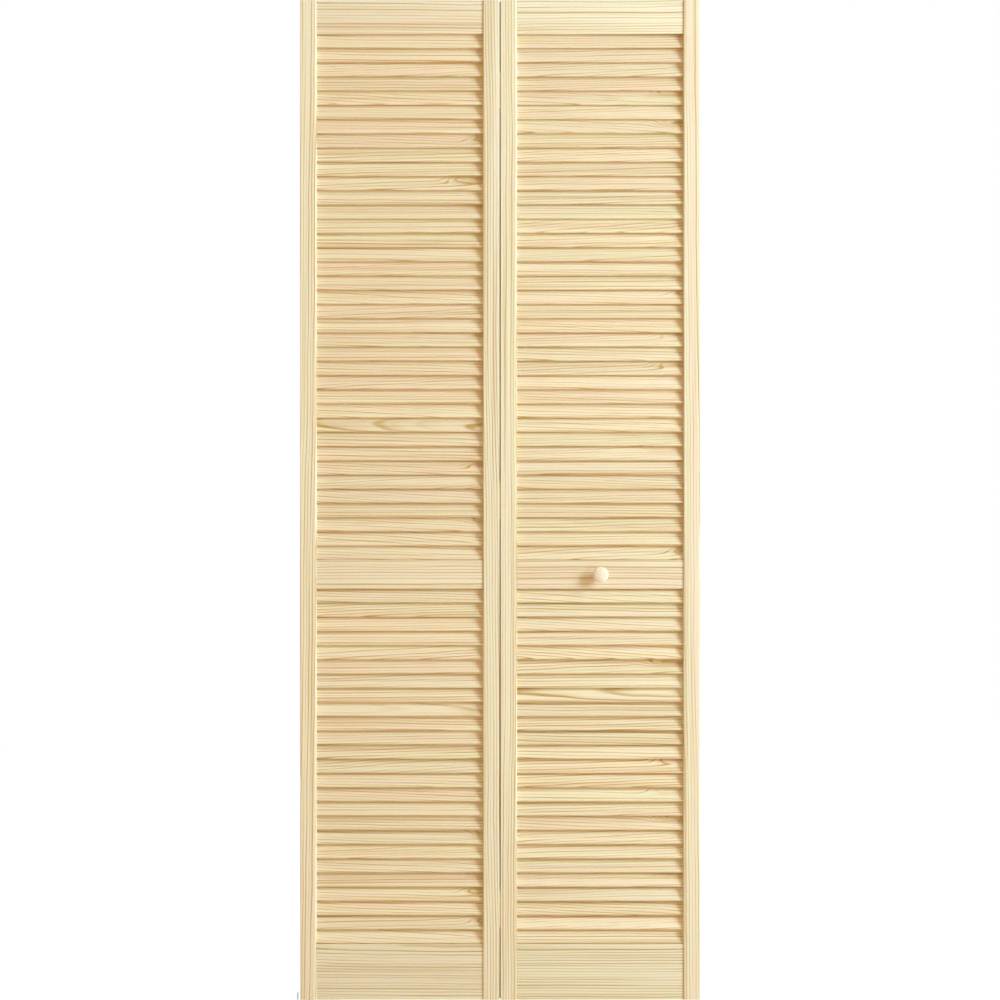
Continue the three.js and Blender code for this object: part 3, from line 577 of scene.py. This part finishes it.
SLAT_TREE = make_slat_tree()
for panel, side in PANELS.items():
    slat_values = {"Wood": PINE_SLATS, "Seed": SLAT_SEED + side}
    for bank, below, above in (("Lower", RAILS[0], RAILS[1]), ("Upper", RAILS[1], RAILS[2])):
        bank_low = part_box(f"{panel}_{below}")[1][2]
        bank_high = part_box(f"{panel}_{above}")[0][2]
        slat_count = round((bank_high - bank_low) / SLAT_SPACING)
        slat_values[f"{bank} count"] = slat_count
        slat_values[f"{bank} first"] = bank_low + SLAT_FOOT_GAP + slat_half_height
        slat_values[f"{bank} spacing"] = (bank_high - bank_low) / slat_count
    rail_low, rail_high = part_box(f"{panel}_top_rail")
    slat_values["Length"] = rail_high[0] - rail_low[0]
    slat_values["Centre"] = (rail_high[0] + rail_low[0]) / 2
    slats = even_normals(grown_by(f"{panel}_slats", SLAT_TREE, slat_values))
    slat_values["Width"] = SLAT_WIDTH + 2 * SLAT_PLAY
    slat_values["Thickness"] = SLAT_THICKNESS + 2 * SLAT_PLAY
    hinge_stile = hinge_stiles[panel]
    cut(hinge_stile, grown_by("slots", SLAT_TREE, slat_values))
    even_normals(hinge_stile)
    grow(hinge_stile, "z", HINGE_STILE_BOARD + 2 * side)
    fused_node = f"{panel}_hinge_stile_with_slats"
    for wood, slot_name in ((hinge_stile, "pine_frame"), (slats, "pine_slats")):
        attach(wood, panel)
        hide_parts(fused_node)

# Hinges: three bifold hinges of brass-plated steel. They need no recess, because the inner leaf
# closes into the outer leaf's window. Both are bent round a pin whose ends are peened over.
HINGES = ("top", "middle", "bottom")
LEAF_EDGE = 0.15 * mm
BRASS_COLOUR = (214, 178, 104)
BRASS_STAIN = (178, 134, 70)
CLOUD_SCALE = 45.0
CLOUD_DETAIL = 4.0
CLOUD_LEVELS = (0.35, 0.7)
LINE_DETAIL = 3.0
CLOUD_SHARE = 0.5
ROUGHNESS_LEVELS = (0.4, 1.1)
FINISH_BUMP_STRENGTH = 0.6
METAL_RELIEF = 0.01 * mm


def make_finish_group():
    """A worked surface: faint clouds of a second colour, and fine lines left by its making."""
    tree = bpy.data.node_groups.new("worked_finish", "ShaderNodeTree")
    start, end = interface(
        tree,
        {
            "Place": ("NodeSocketVector", None),
            "Lines": ("NodeSocketVector", None),
            "Colour": ("NodeSocketColor", None),
            "Stain": ("NodeSocketColor", None),
            "Smooth": ("NodeSocketFloat", None),
            "Rough": ("NodeSocketFloat", None),
        },
        {
            "Color": ("NodeSocketColor", None),
            "Roughness": ("NodeSocketFloat", None),
            "Height": ("NodeSocketFloat", None),
        },
    )
    given = start.outputs
    sockets = {"Vector": given["Place"], "Scale": CLOUD_SCALE, "Detail": CLOUD_DETAIL}
    clouds = add(tree, "ShaderNodeTexNoise", sockets).outputs[0]
    sockets = {"Value": clouds, "From Min": CLOUD_LEVELS[0], "From Max": CLOUD_LEVELS[1]}
    stained = add(tree, "ShaderNodeMapRange", sockets).outputs["Result"]
    drawn = {0: given["Place"], 1: given["Lines"]}
    drawn = add(tree, "ShaderNodeVectorMath", drawn, operation="MULTIPLY")
    sockets = {"Vector": drawn.outputs[0], "Scale": 1.0, "Detail": LINE_DETAIL}
    lines = add(tree, "ShaderNodeTexNoise", sockets).outputs[0]
    sockets = {
        "Value": calculate(tree, "MULTIPLY_ADD", stained, CLOUD_SHARE, lines),
        "From Min": ROUGHNESS_LEVELS[0],
        "From Max": ROUGHNESS_LEVELS[1],
        "To Min": given["Smooth"],
        "To Max": given["Rough"],
    }
    roughness = add(tree, "ShaderNodeMapRange", sockets)
    share = calculate(tree, "MULTIPLY", stained, lines)
    sockets = {"Factor": share, 6: given["Colour"], 7: given["Stain"]}
    colour = add(tree, "ShaderNodeMix", sockets, data_type="RGBA")
    tree.links.new(colour.outputs[2], end.inputs["Color"])
    tree.links.new(roughness.outputs["Result"], end.inputs["Roughness"])
    tree.links.new(lines, end.inputs["Height"])
    return tree


FINISH_GROUP = make_finish_group()


def make_finish(name, colour, stain, lines, roughness, metallic=1.0, relief=METAL_RELIEF):
    """A material of one finish. Its lines have so many ridges a metre on each axis."""
    material, tree, shader = new_material(name)
    sockets = {
        "Place": add(tree, "ShaderNodeTexCoord").outputs["Object"],
        "Lines": lines,
        "Colour": linear(*colour),
        "Stain": linear(*stain),
        "Smooth": roughness[0],
        "Rough": roughness[1],
    }
    finish = add(tree, "ShaderNodeGroup", sockets, node_tree=FINISH_GROUP)
    dress(tree, shader, finish, FINISH_BUMP_STRENGTH, relief)
    shader.inputs["Metallic"].default_value = metallic
    return material


BRASS = make_finish(
    "brass_plate", BRASS_COLOUR, BRASS_STAIN, lines=(300, 300, 900), roughness=(0.16, 0.4)
)


def fit(piece, body, nodes):
    """Hangs a finished piece on its body, in place of the CAD nodes that it stands for."""
    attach(piece, body)
    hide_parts(*nodes)


for place in HINGES:
    for part, body in (
        ("outer_leaf", "pivot_panel"),
        ("inner_leaf", "lead_panel"),
        ("pin", "pivot_panel"),
    ):
        node = f"{place}_hinge_{part}"
        fit(copy_of(node, f"{node}_plated", BRASS, LEAF_EDGE), body, [node])

# Hinge screws: fifteen slotted brass-plated wood screws with countersunk heads. Three hold each
# outer leaf and two each inner leaf, driven into the seam faces of the stiles.
SCREW_HEAD = 1.5 * mm
SCREW_POINT = 5 * mm
SCREW_SLOT = (0.9 * mm, 0.7 * mm)
SCREW_THREAD = 0.35 * mm
SCREW_PITCH = 1.6 * mm
SCREW_SHANK = 1.35 * mm
SCREW_SIDES = 24
SCREW_TIP = 0.05 * mm
SCREW_SEED = 4
SLOT_LENGTH_SHARE = 3.0
THREAD_SHARE = 0.7
THREAD_STEPS = 12
THREAD_SIDES = 3
COIL_STEPS = 24
COIL_SIDES = 10


def make_coil_tree():
    """One wire wound round Z at a steady rise, such as a spring or a screw's thread."""
    tree = bpy.data.node_groups.new("wound_wire", "GeometryNodeTree")
    sizes = {
        "Radius": ("NodeSocketFloat", None),
        "Wire": ("NodeSocketFloat", None),
        "Turns": ("NodeSocketFloat", None),
        "Height": ("NodeSocketFloat", None),
        "Foot": ("NodeSocketVector", None),
        "Steps": ("NodeSocketInt", COIL_STEPS),
        "Sides": ("NodeSocketInt", COIL_SIDES),
        "Metal": ("NodeSocketMaterial", None),
    }
    start, end = interface(tree, sizes, {"Geometry": ("NodeSocketGeometry", None)})
    given = start.outputs
    path = {
        "Resolution": given["Steps"],
        "Rotations": given["Turns"],
        "Start Radius": given["Radius"],
        "End Radius": given["Radius"],
        "Height": given["Height"],
    }
    path = add(tree, "GeometryNodeCurveSpiral", path)
    ring = {"Resolution": given["Sides"], "Radius": given["Wire"]}
    ring = add(tree, "GeometryNodeCurvePrimitiveCircle", ring)
    wire = {"Curve": path.outputs[0], "Profile Curve": ring.outputs[0], "Fill Caps": True}
    wire = add(tree, "GeometryNodeCurveToMesh", wire)
    placed = {"Geometry": wire.outputs[0], "Translation": given["Foot"]}
    placed = add(tree, "GeometryNodeTransform", placed)
    close_tree(tree, placed, given["Metal"], end)
    return tree


def make_screw_tree():
    """Slotted wood screws on the object's own points, each turned as far as it was driven."""
    tree = bpy.data.node_groups.new("wood_screws", "GeometryNodeTree")
    sizes = {
        "Geometry": ("NodeSocketGeometry", None),
        "Head radius": ("NodeSocketFloat", None),
        "Head": ("NodeSocketFloat", SCREW_HEAD),
        "Shank radius": ("NodeSocketFloat", SCREW_SHANK),
        "Length": ("NodeSocketFloat", None),
        "Point": ("NodeSocketFloat", SCREW_POINT),
        "Direction": ("NodeSocketVector", None),
        "Seed": ("NodeSocketInt", SCREW_SEED),
        "Metal": ("NodeSocketMaterial", None),
    }
    start, end = interface(tree, sizes, {"Geometry": ("NodeSocketGeometry", None)})
    given = start.outputs

    def minus(a, b):
        return calculate(tree, "SUBTRACT", a, b)

    def lowered(shape, depth):
        drop = add(tree, "ShaderNodeCombineXYZ", {2: calculate(tree, "MULTIPLY", depth, -1.0)})
        placed = {"Geometry": shape.outputs[0], "Translation": drop.outputs[0]}
        return add(tree, "GeometryNodeTransform", placed)

    head = {
        "Vertices": SCREW_SIDES,
        "Radius Top": given["Head radius"],
        "Radius Bottom": given["Shank radius"],
        "Depth": given["Head"],
    }
    head = lowered(add(tree, "GeometryNodeMeshCone", head), given["Head"])
    shank_length = minus(given["Length"], calculate(tree, "ADD", given["Point"], given["Head"]))
    shank = {
        "Vertices": SCREW_SIDES,
        "Radius": given["Shank radius"],
        "Depth": shank_length,
    }
    half = calculate(tree, "MULTIPLY_ADD", shank_length, 0.5, given["Head"])
    shank = lowered(add(tree, "GeometryNodeMeshCylinder", shank), half)
    point = {
        "Vertices": SCREW_SIDES,
        "Radius Top": given["Shank radius"],
        "Radius Bottom": SCREW_TIP,
        "Depth": given["Point"],
    }
    point = lowered(add(tree, "GeometryNodeMeshCone", point), given["Length"])
    whole = add(tree, "GeometryNodeMeshBoolean", operation="UNION", solver="EXACT")
    for part in (head, shank, point):
        tree.links.new(part.outputs[0], whole.inputs["Mesh 2"])
    slot_size = {
        0: calculate(tree, "MULTIPLY", given["Head radius"], SLOT_LENGTH_SHARE),
        1: SCREW_SLOT[0],
        2: 2 * SCREW_SLOT[1],
    }
    slot_size = add(tree, "ShaderNodeCombineXYZ", slot_size)
    slot = add(tree, "GeometryNodeMeshCube", {"Size": slot_size.outputs[0]})
    slotted = {"Mesh 1": whole.outputs[0], "Mesh 2": slot.outputs[0]}
    slotted = add(
        tree, "GeometryNodeMeshBoolean", slotted, operation="DIFFERENCE", solver="EXACT"
    )
    thread_height = calculate(tree, "MULTIPLY", shank_length, THREAD_SHARE)
    thread = {
        "Radius": given["Shank radius"],
        "Turns": calculate(tree, "DIVIDE", thread_height, SCREW_PITCH),
        "Height": thread_height,
        "Wire": SCREW_THREAD,
        "Steps": THREAD_STEPS,
        "Sides": THREAD_SIDES,
    }
    thread = add(tree, "GeometryNodeGroup", thread, node_tree=COIL_TREE)
    thread = lowered(thread, minus(given["Length"], given["Point"]))
    screw = add(tree, "GeometryNodeJoinGeometry")
    for part in (slotted, thread):
        tree.links.new(part.outputs[0], screw.inputs[0])
    driven = {
        "Points": given["Geometry"],
        "Instance": screw.outputs[0],
        "Rotation": given["Direction"],
    }
    driven = add(tree, "GeometryNodeInstanceOnPoints", driven)
    turn = {2: 0.0, 3: math.pi, "Seed": given["Seed"]}
    turn = add(tree, "FunctionNodeRandomValue", turn, data_type="FLOAT")
    turn = add(tree, "ShaderNodeCombineXYZ", {2: turn.outputs[1]})
    driven = {"Instances": driven.outputs[0], "Rotation": turn.outputs[0], "Local Space": True}
    driven = add(tree, "GeometryNodeRotateInstances", driven)
    close_tree(tree, driven, given["Metal"], end)
    return tree


COIL_TREE = make_coil_tree()
SCREW_TREE = make_screw_tree()
for panel, side in PANELS.items():
    leaf, screw_count = ("outer", 3) if side < 0 else ("inner", 2)
    numbers = range(1, screw_count + 1)
    nodes = [f"{place}_hinge_{leaf}_screw_{number}" for place in HINGES for number in numbers]
    heads = []
    for node in nodes:
        low, high = map(Vector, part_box(node))
        head = (low + high) / 2
        head.x = high.x if side < 0 else low.x
        heads.append(head)
    values = {
        "Head radius": (high.z - low.z) / 2,
        "Length": high.x - low.x,
        "Direction": (0.0, -side * math.pi / 2, 0.0),
        "Metal": BRASS,
    }
    screws = even_normals(grown_by(f"{leaf}_leaf_screws", SCREW_TREE, values, heads))
    fit(screws, panel, nodes)

# Knob: turned from birch on a lathe, sanded and lacquered. It is paler than the pine and shows
# hardly any grain.
KNOB_LIGHT = (247, 237, 213)
KNOB_LATE = (232, 206, 160)
KNOB_RINGS = 1.9 * mm
KNOB_HEAD = 13 * mm
KNOB_NECK_RADIUS = 6.5 * mm
KNOB_FOOT_RADIUS = 9.5 * mm
KNOB_FOOT = 2.5 * mm
KNOB_STEPS = 20
KNOB_BOARD = 4.4
TURNED_SIDES = 64
EDGE_ROOM = 3


def turned(name, profile, material, edge=0.0):
    """A shape turned about Z from (radius, height) pairs, its corners broken by an edge.

    The edge gives way on a short side, so that it leaves the middle third of it.
    """
    points = [Vector(pair) for pair in profile]
    closed = points[0] == points[-1]
    broken = [points[0]]
    for before, corner, after in zip(points, points[1:], points[2:]):
        if not edge or corner.x == 0:
            broken.append(corner)
            continue
        for end in (before, after):
            reach = min(edge, (end - corner).length / EDGE_ROOM)
            broken.append(corner + (end - corner).normalized() * reach)
    broken.append(points[-1])
    shaped = bmesh.new()
    rings = []
    for radius, height in broken:
        sides = TURNED_SIDES if radius > 0 else 1
        angles = [2 * math.pi * side / sides for side in range(sides)]
        rings.append(
            [shaped.verts.new((radius * math.cos(a), radius * math.sin(a), height)) for a in angles]
        )
    for first, second in zip(rings, rings[1:]):
        for side in range(TURNED_SIDES):
            here, there = side, side + 1
            corners = (
                first[here % len(first)],
                first[there % len(first)],
                second[there % len(second)],
                second[here % len(second)],
            )
            corners = list(dict.fromkeys(corners))
            if len(corners) > 2:
                shaped.faces.new(corners)
    if closed:
        bmesh.ops.remove_doubles(shaped, verts=shaped.verts, dist=MERGE_DISTANCE)
    bmesh.ops.recalc_face_normals(shaped, faces=shaped.faces)
    return new_object(name, mesh_of(shaped, name), material)


def moved(thing, place, turn=0.0):
    """The piece turned about X and carried to its place, in its mesh."""
    thing.data.transform(Matrix.Translation(place) @ Matrix.Rotation(turn, 4, "X"))
    return thing


BIRCH = make_pine(
    "turned_birch",
    light=linear(*KNOB_LIGHT),
    late=linear(*KNOB_LATE),
    ring_spacing=KNOB_RINGS,
    flat_sawn=0.15,
    slant=0.05,
    swirls=0.0,
)
knob_low, knob_high = map(Vector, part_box("knob"))
knob_radius = (knob_high.z - knob_low.z) / 2
knob_height = knob_high.y - knob_low.y
knob_axis = (knob_low + knob_high) / 2
undercut = math.acos(KNOB_NECK_RADIUS / knob_radius)
profile = [(0.0, 0.0), (KNOB_FOOT_RADIUS, 0.0)]
neck_top = knob_height - KNOB_HEAD / 2 - KNOB_HEAD / 2 * math.sin(undercut)
for step in range(KNOB_STEPS):
    share = step / KNOB_STEPS
    flare = (KNOB_FOOT_RADIUS - KNOB_NECK_RADIUS) * (1 - math.sin(math.pi / 2 * share))
    profile.append((KNOB_NECK_RADIUS + flare, KNOB_FOOT + (neck_top - KNOB_FOOT) * share))
for step in range(KNOB_STEPS):
    angle = -undercut + (undercut + math.pi / 2) * step / KNOB_STEPS
    height = knob_height - KNOB_HEAD / 2 * (1 - math.sin(angle))
    profile.append((knob_radius * math.cos(angle), height))
profile.append((0.0, knob_height))
knob = turned("knob_turned", profile, BIRCH)
moved(knob, (knob_axis.x, knob_high.y, knob_axis.z), math.pi / 2)
fit(grow(even_normals(knob), "y", KNOB_BOARD), "lead_panel", ["knob"])

# Knob screw: a zinc-plated machine screw with a slotted round head, driven from behind through
# the middle rail into the knob.
ZINC_COLOUR = (200, 202, 203)
ZINC_STAIN = (166, 171, 178)
KNOB_SCREW_RADIUS = 2 * mm
KNOB_SCREW_HEAD = 2.2 * mm
KNOB_SCREW_SLOT = 1 * mm

ZINC = make_finish(
    "zinc_plated_steel", ZINC_COLOUR, ZINC_STAIN, lines=(500, 500, 500), roughness=(0.2, 0.42)
)
rail_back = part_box("lead_panel_middle_rail")[1][1]
screw_low, screw_high = map(Vector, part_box("knob_screw"))
screw_radius = (screw_high.z - screw_low.z) / 2
screw_tip = rail_back - screw_low.y
head_seat = rail_back - screw_high.y + KNOB_SCREW_HEAD
profile = [(0.0, head_seat - KNOB_SCREW_HEAD)]
for step in range(1, KNOB_STEPS + 1):
    angle = math.pi / 2 * step / KNOB_STEPS
    dome = (screw_radius * math.sin(angle), head_seat - KNOB_SCREW_HEAD * math.cos(angle))
    profile.append(dome)
profile += [(KNOB_SCREW_RADIUS, head_seat), (KNOB_SCREW_RADIUS, screw_tip), (0.0, screw_tip)]
knob_screw = turned("knob_screw_plated", profile, ZINC)
moved(knob_screw, (knob_axis.x, rail_back, knob_axis.z), math.pi / 2)
slot_low = (knob_axis.x - KNOB_SCREW_SLOT / 2, screw_high.y - KNOB_SCREW_SLOT, screw_low.z)
slot_high = (knob_axis.x + KNOB_SCREW_SLOT / 2, screw_high.y + KNOB_SCREW_SLOT, screw_high.z)
cut(knob_screw, cutting_block(slot_low, slot_high))
fit(even_normals(knob_screw), "lead_panel", ["knob_screw"])

# Sockets: moulded nylon sleeves with a thin flange, pressed into bores in the stiles' ends. The
# two upper ones have a narrow throat that keeps a spring plunger in.
NYLON_COLOUR = (241, 239, 232)
NYLON_STAIN = (229, 224, 210)
NYLON_EDGE = 0.25 * mm
NYLON_GLOW = 0.25
NYLON_GLOW_REACH = (2 * mm, 1.6 * mm, 1.2 * mm)
NYLON_RELIEF = 0.02 * mm
FLANGE = 1 * mm
SOCKET_RADIUS = 5.5 * mm
SOCKET_FLOOR = 2 * mm
THROAT_RADIUS = 3.3 * mm
THROAT = 2 * mm
CHAMBER_RADIUS = 4.2 * mm
BOTTOM_BORE = 4.1 * mm
BOTTOM_BORE_DEPTH = 34.3 * mm

NYLON = make_finish(
    "nylon",
    NYLON_COLOUR,
    NYLON_STAIN,
    lines=(700, 700, 700),
    roughness=(0.36, 0.52),
    metallic=0.0,
    relief=NYLON_RELIEF,
)
let_light_in(NYLON.node_tree.nodes["Principled BSDF"], NYLON_GLOW, NYLON_GLOW_REACH)

for node, body in (
    ("top_pivot_socket", "pivot_panel"),
    ("guide_socket", "lead_panel"),
    ("bottom_pivot_socket", "pivot_panel"),
):
    low, high = map(Vector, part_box(node))
    flange_radius = (high.x - low.x) / 2
    axis = (low + high) / 2
    sleeve = high.z - low.z - FLANGE
    if node == "bottom_pivot_socket":
        profile = [
            (BOTTOM_BORE, 0.0),
            (flange_radius, 0.0),
            (flange_radius, FLANGE),
            (SOCKET_RADIUS, FLANGE),
            (SOCKET_RADIUS, FLANGE + sleeve),
            (0.0, FLANGE + sleeve),
            (0.0, FLANGE + BOTTOM_BORE_DEPTH),
            (BOTTOM_BORE, FLANGE + BOTTOM_BORE_DEPTH),
            (BOTTOM_BORE, 0.0),
        ]
    else:
        profile = [
            (0.0, 0.0),
            (SOCKET_RADIUS, 0.0),
            (SOCKET_RADIUS, sleeve),
            (flange_radius, sleeve),
            (flange_radius, sleeve + FLANGE),
            (THROAT_RADIUS, sleeve + FLANGE),
            (THROAT_RADIUS, sleeve - THROAT),
            (CHAMBER_RADIUS, sleeve - THROAT),
            (CHAMBER_RADIUS, SOCKET_FLOOR),
            (0.0, SOCKET_FLOOR),
        ]
    socket = turned(f"{node}_moulded", profile, NYLON, NYLON_EDGE)
    moved(socket, (axis.x, axis.y, low.z))
    fit(even_normals(socket), body, [node])

# Springs: two of plain steel wire, wound on a mandrel, one in each upper socket. They push the
# plungers up; each is built at its full length and does not shorten when a plunger goes down.
SPRING_WIRE = 0.5 * mm
SPRING_TURNS = 6.0
SPRINGS = (
    ("top_pivot_spring", "pivot_panel", "top_pivot_plunge", 11 * mm),
    ("guide_spring", "lead_panel", "guide_plunge", 7 * mm),
)

for node, body, joint, travel in SPRINGS:
    low, high = map(Vector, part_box(node))
    axis = (low + high) / 2
    values = {
        "Radius": (high.x - low.x) / 2 - SPRING_WIRE,
        "Wire": SPRING_WIRE,
        "Turns": SPRING_TURNS,
        "Height": high.z - low.z - 2 * SPRING_WIRE,
        "Foot": (axis.x, axis.y, low.z + SPRING_WIRE),
        "Metal": ZINC,
    }
    spring = even_normals(grown_by(f"{node}_wound", COIL_TREE, values))
    fit(spring, body, [node])
    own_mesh(spring)

# Plungers: zinc-plated steel pins turned with a collar, which the socket's throat holds back. The
# left one turns in the top bracket, the right one carries the guide wheel under a riveted head.
PLUNGER_RADIUS = 3 * mm
COLLAR_RADIUS = 3.9 * mm
COLLAR = 3 * mm
NOSE = 1 * mm
SHOULDER = 0.7 * mm
SHOULDER_RADIUS = 5 * mm
RIVET = 1 * mm
RIVET_RADIUS = 4.6 * mm
WHEEL_GAP = 0.3 * mm
PIN_EDGE = 0.15 * mm

wheel_low, wheel_high = map(Vector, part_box("guide_wheel"))
for node in ("top_pivot_pin", "guide_pin"):
    low, high = map(Vector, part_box(node))
    axis = (low + high) / 2
    length = high.z - low.z
    profile = [
        (0.0, 0.0),
        (COLLAR_RADIUS, 0.0),
        (COLLAR_RADIUS, COLLAR),
        (PLUNGER_RADIUS, COLLAR),
    ]
    if node == "guide_pin":
        shoulder_top = wheel_low.z - WHEEL_GAP - low.z
        profile += [
            (PLUNGER_RADIUS, shoulder_top - SHOULDER),
            (SHOULDER_RADIUS, shoulder_top - SHOULDER),
            (SHOULDER_RADIUS, shoulder_top),
            (PLUNGER_RADIUS, shoulder_top),
            (PLUNGER_RADIUS, length - RIVET),
            (RIVET_RADIUS, length - RIVET),
            (RIVET_RADIUS - RIVET / 2, length),
        ]
    else:
        profile += [(PLUNGER_RADIUS, length - NOSE), (PLUNGER_RADIUS - NOSE, length)]
    profile.append((0.0, length))
    pin = moved(turned(f"{node}_turned", profile, ZINC, PIN_EDGE), (axis.x, axis.y, low.z))
    fit(even_normals(pin), node, [node])

# Guide wheel: moulded nylon with a round rim, free to turn on the right plunger. It runs between
# the track's lips and keeps the lead panel in line.
WHEEL_BORE = 3.3 * mm
WHEEL_RIM = 1 * mm
WHEEL_RIM_STEPS = 6

wheel_radius = (wheel_high.x - wheel_low.x) / 2
wheel_thickness = wheel_high.z - wheel_low.z
profile = [(WHEEL_BORE, 0.0)]
for height, first in ((WHEEL_RIM, -math.pi / 2), (wheel_thickness - WHEEL_RIM, 0.0)):
    for step in range(WHEEL_RIM_STEPS + 1):
        angle = first + math.pi / 2 * step / WHEEL_RIM_STEPS
        out = wheel_radius - WHEEL_RIM + WHEEL_RIM * math.cos(angle)
        profile.append((out, height + WHEEL_RIM * math.sin(angle)))
profile += [(WHEEL_BORE, wheel_thickness), (WHEEL_BORE, 0.0)]
wheel = turned("guide_wheel_moulded", profile, NYLON)
wheel_axis = (wheel_low + wheel_high) / 2
moved(wheel, (wheel_axis.x, wheel_axis.y, wheel_low.z))
fit(even_normals(wheel), "guide_wheel", ["guide_wheel"])

# Track: a mill-finished aluminium extrusion with two lips below, drilled and countersunk inside
# for the screws that hold it to the head of the opening.
ALUMINIUM_COLOUR = (210, 212, 214)
ALUMINIUM_STAIN = (186, 189, 193)
TRACK_EDGE = 0.2 * mm

ALUMINIUM = make_finish(
    "aluminium_track",
    ALUMINIUM_COLOUR,
    ALUMINIUM_STAIN,
    lines=(2, 1500, 1500),
    roughness=(0.26, 0.42),
)
track = copy_of("track", "track_extruded", ALUMINIUM, TRACK_EDGE)
fit(track, "opening_hardware", ["track"])

# Top bracket: a zinc-plated steel slide that rests on the track's lips and holds the pivot in its
# boss. A socket screw locks it where it is wanted.
BRACKET_EDGE = 0.3 * mm

for node in ("top_pivot_bracket", "top_pivot_lock_screw"):
    plated = copy_of(node, f"{node}_plated", ZINC, BRACKET_EDGE)
    fit(plated, "opening_hardware", [node])

# Bottom pivot: a zinc-plated steel pin in the left panel's lower socket. Its hexagon is turned to
# raise or lower the door, and its toothed foot stands in the jamb bracket.
FOOT_EDGE = 0.15 * mm

bottom_pivot = copy_of("bottom_pivot_pin", "bottom_pivot_plated", ZINC, FOOT_EDGE)
fit(bottom_pivot, "opening_hardware", ["bottom_pivot_pin"])

# Jamb bracket: pressed from zinc-plated steel sheet and screwed to the floor and the jamb. The
# notches in its raised strip take the foot of the pivot.
jamb_bracket = copy_of("jamb_bracket", "jamb_bracket_pressed", ZINC, BRACKET_EDGE)
fit(jamb_bracket, "opening_hardware", ["jamb_bracket"])

# Studio: a level camera at the door's mid height, a white ground, a soft lamp from the right, a
# little above, and a weaker one behind. A lamp turns from the front to the right, in degrees.
CAMERA_DISTANCE = 6.0
FRAME_HEIGHT = 2.0
LAMP_DISTANCE = 5.0
LAMP_SIZE = 2.2
LAMPS = (
    {"name": "key", "turn": 56, "rise": 17, "power": 218, "tint": (0.73, 1.01, 1.3)},
    {"name": "back", "turn": 200, "rise": 0, "power": 90, "tint": (0.73, 1.0, 1.25)},
)
WORLD_STRENGTH = 0.62
WORLD_WARMTH = (1.0, 0.77, 0.5, 1.0)

stile_low, stile_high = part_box("pivot_panel_outer_stile")
door_middle = Vector((0.0, 0.0, (stile_low[2] + stile_high[2]) / 2))
camera_data = bpy.data.cameras.new("camera")
camera_data.lens = camera_data.sensor_width * CAMERA_DISTANCE / FRAME_HEIGHT
camera = new_object("camera", camera_data)
camera.location = door_middle + Vector((0.0, stile_low[1] - CAMERA_DISTANCE, 0.0))
camera.rotation_euler = (math.pi / 2, 0.0, 0.0)
bpy.context.scene.camera = camera

for lamp_values in LAMPS:
    turn = math.radians(lamp_values["turn"])
    rise = math.radians(lamp_values["rise"])
    level = math.cos(rise)
    towards = Vector((math.sin(turn) * level, -math.cos(turn) * level, math.sin(rise)))
    lamp_data = bpy.data.lights.new(lamp_values["name"], "AREA")
    lamp_data.energy = lamp_values["power"]
    lamp_data.color = lamp_values["tint"]
    lamp_data.shape = "DISK"
    lamp_data.size = LAMP_SIZE
    lamp = new_object(lamp_values["name"], lamp_data)
    lamp.location = door_middle + towards * LAMP_DISTANCE
    lamp.rotation_euler = towards.to_track_quat("Z", "Y").to_euler()

world = bpy.data.worlds.new("white")
world.use_nodes = True
bpy.context.scene.world = world
sky = world.node_tree
background = sky.nodes["Background"]
path = add(sky, "ShaderNodeLightPath")
seen = calculate(sky, "MAXIMUM", path.outputs["Is Camera Ray"], path.outputs["Is Glossy Ray"])
seen = calculate(sky, "MAXIMUM", seen, path.outputs["Is Transmission Ray"])
strength = add(sky, "ShaderNodeMapRange", {"Value": seen, "To Min": WORLD_STRENGTH})
sky.links.new(strength.outputs["Result"], background.inputs["Strength"])
white = (1.0, 1.0, 1.0, 1.0)
tint = {"Factor": seen, 6: WORLD_WARMTH, 7: white}
tint = add(sky, "ShaderNodeMix", tint, data_type="RGBA")
sky.links.new(tint.outputs[2], background.inputs["Color"])

FLOOR_REACH = 6.0
FLOOR_CORNERS = ((-1, -1), (1, -1), (1, 1), (-1, 1))
FLOOR_GLOW = (0.63, 0.72, 0.83, 1.0)
FLOOR_BOUNCE = (0.78, 0.66, 0.54, 1.0)
FLOOR_SEEN = (0.65, 0.65, 0.65, 1.0)
floor_material, ground, shader = new_material("white_floor")
ground.nodes.remove(shader)
path = add(ground, "ShaderNodeLightPath")
seen = calculate(ground, "MAXIMUM", path.outputs["Is Camera Ray"], path.outputs["Is Glossy Ray"])
paint = {"Factor": seen, 6: FLOOR_BOUNCE, 7: FLOOR_SEEN}
paint = add(ground, "ShaderNodeMix", paint, data_type="RGBA")
matt = add(ground, "ShaderNodeBsdfDiffuse", {"Color": paint.outputs[2]})
glow = add(ground, "ShaderNodeEmission", {"Color": FLOOR_GLOW, "Strength": seen})
surface = add(ground, "ShaderNodeAddShader", {0: matt.outputs[0], 1: glow.outputs[0]})
ground.links.new(surface.outputs[0], ground.nodes["Material Output"].inputs["Surface"])
floor_mesh = bpy.data.meshes.new("floor")
corners = [(x * FLOOR_REACH, y * FLOOR_REACH, 0.0) for x, y in FLOOR_CORNERS]
floor_mesh.from_pydata(corners, [], [range(len(corners))])
floor = new_object("floor", floor_mesh, floor_material)

bpy.context.scene.view_settings.view_transform = "Standard"
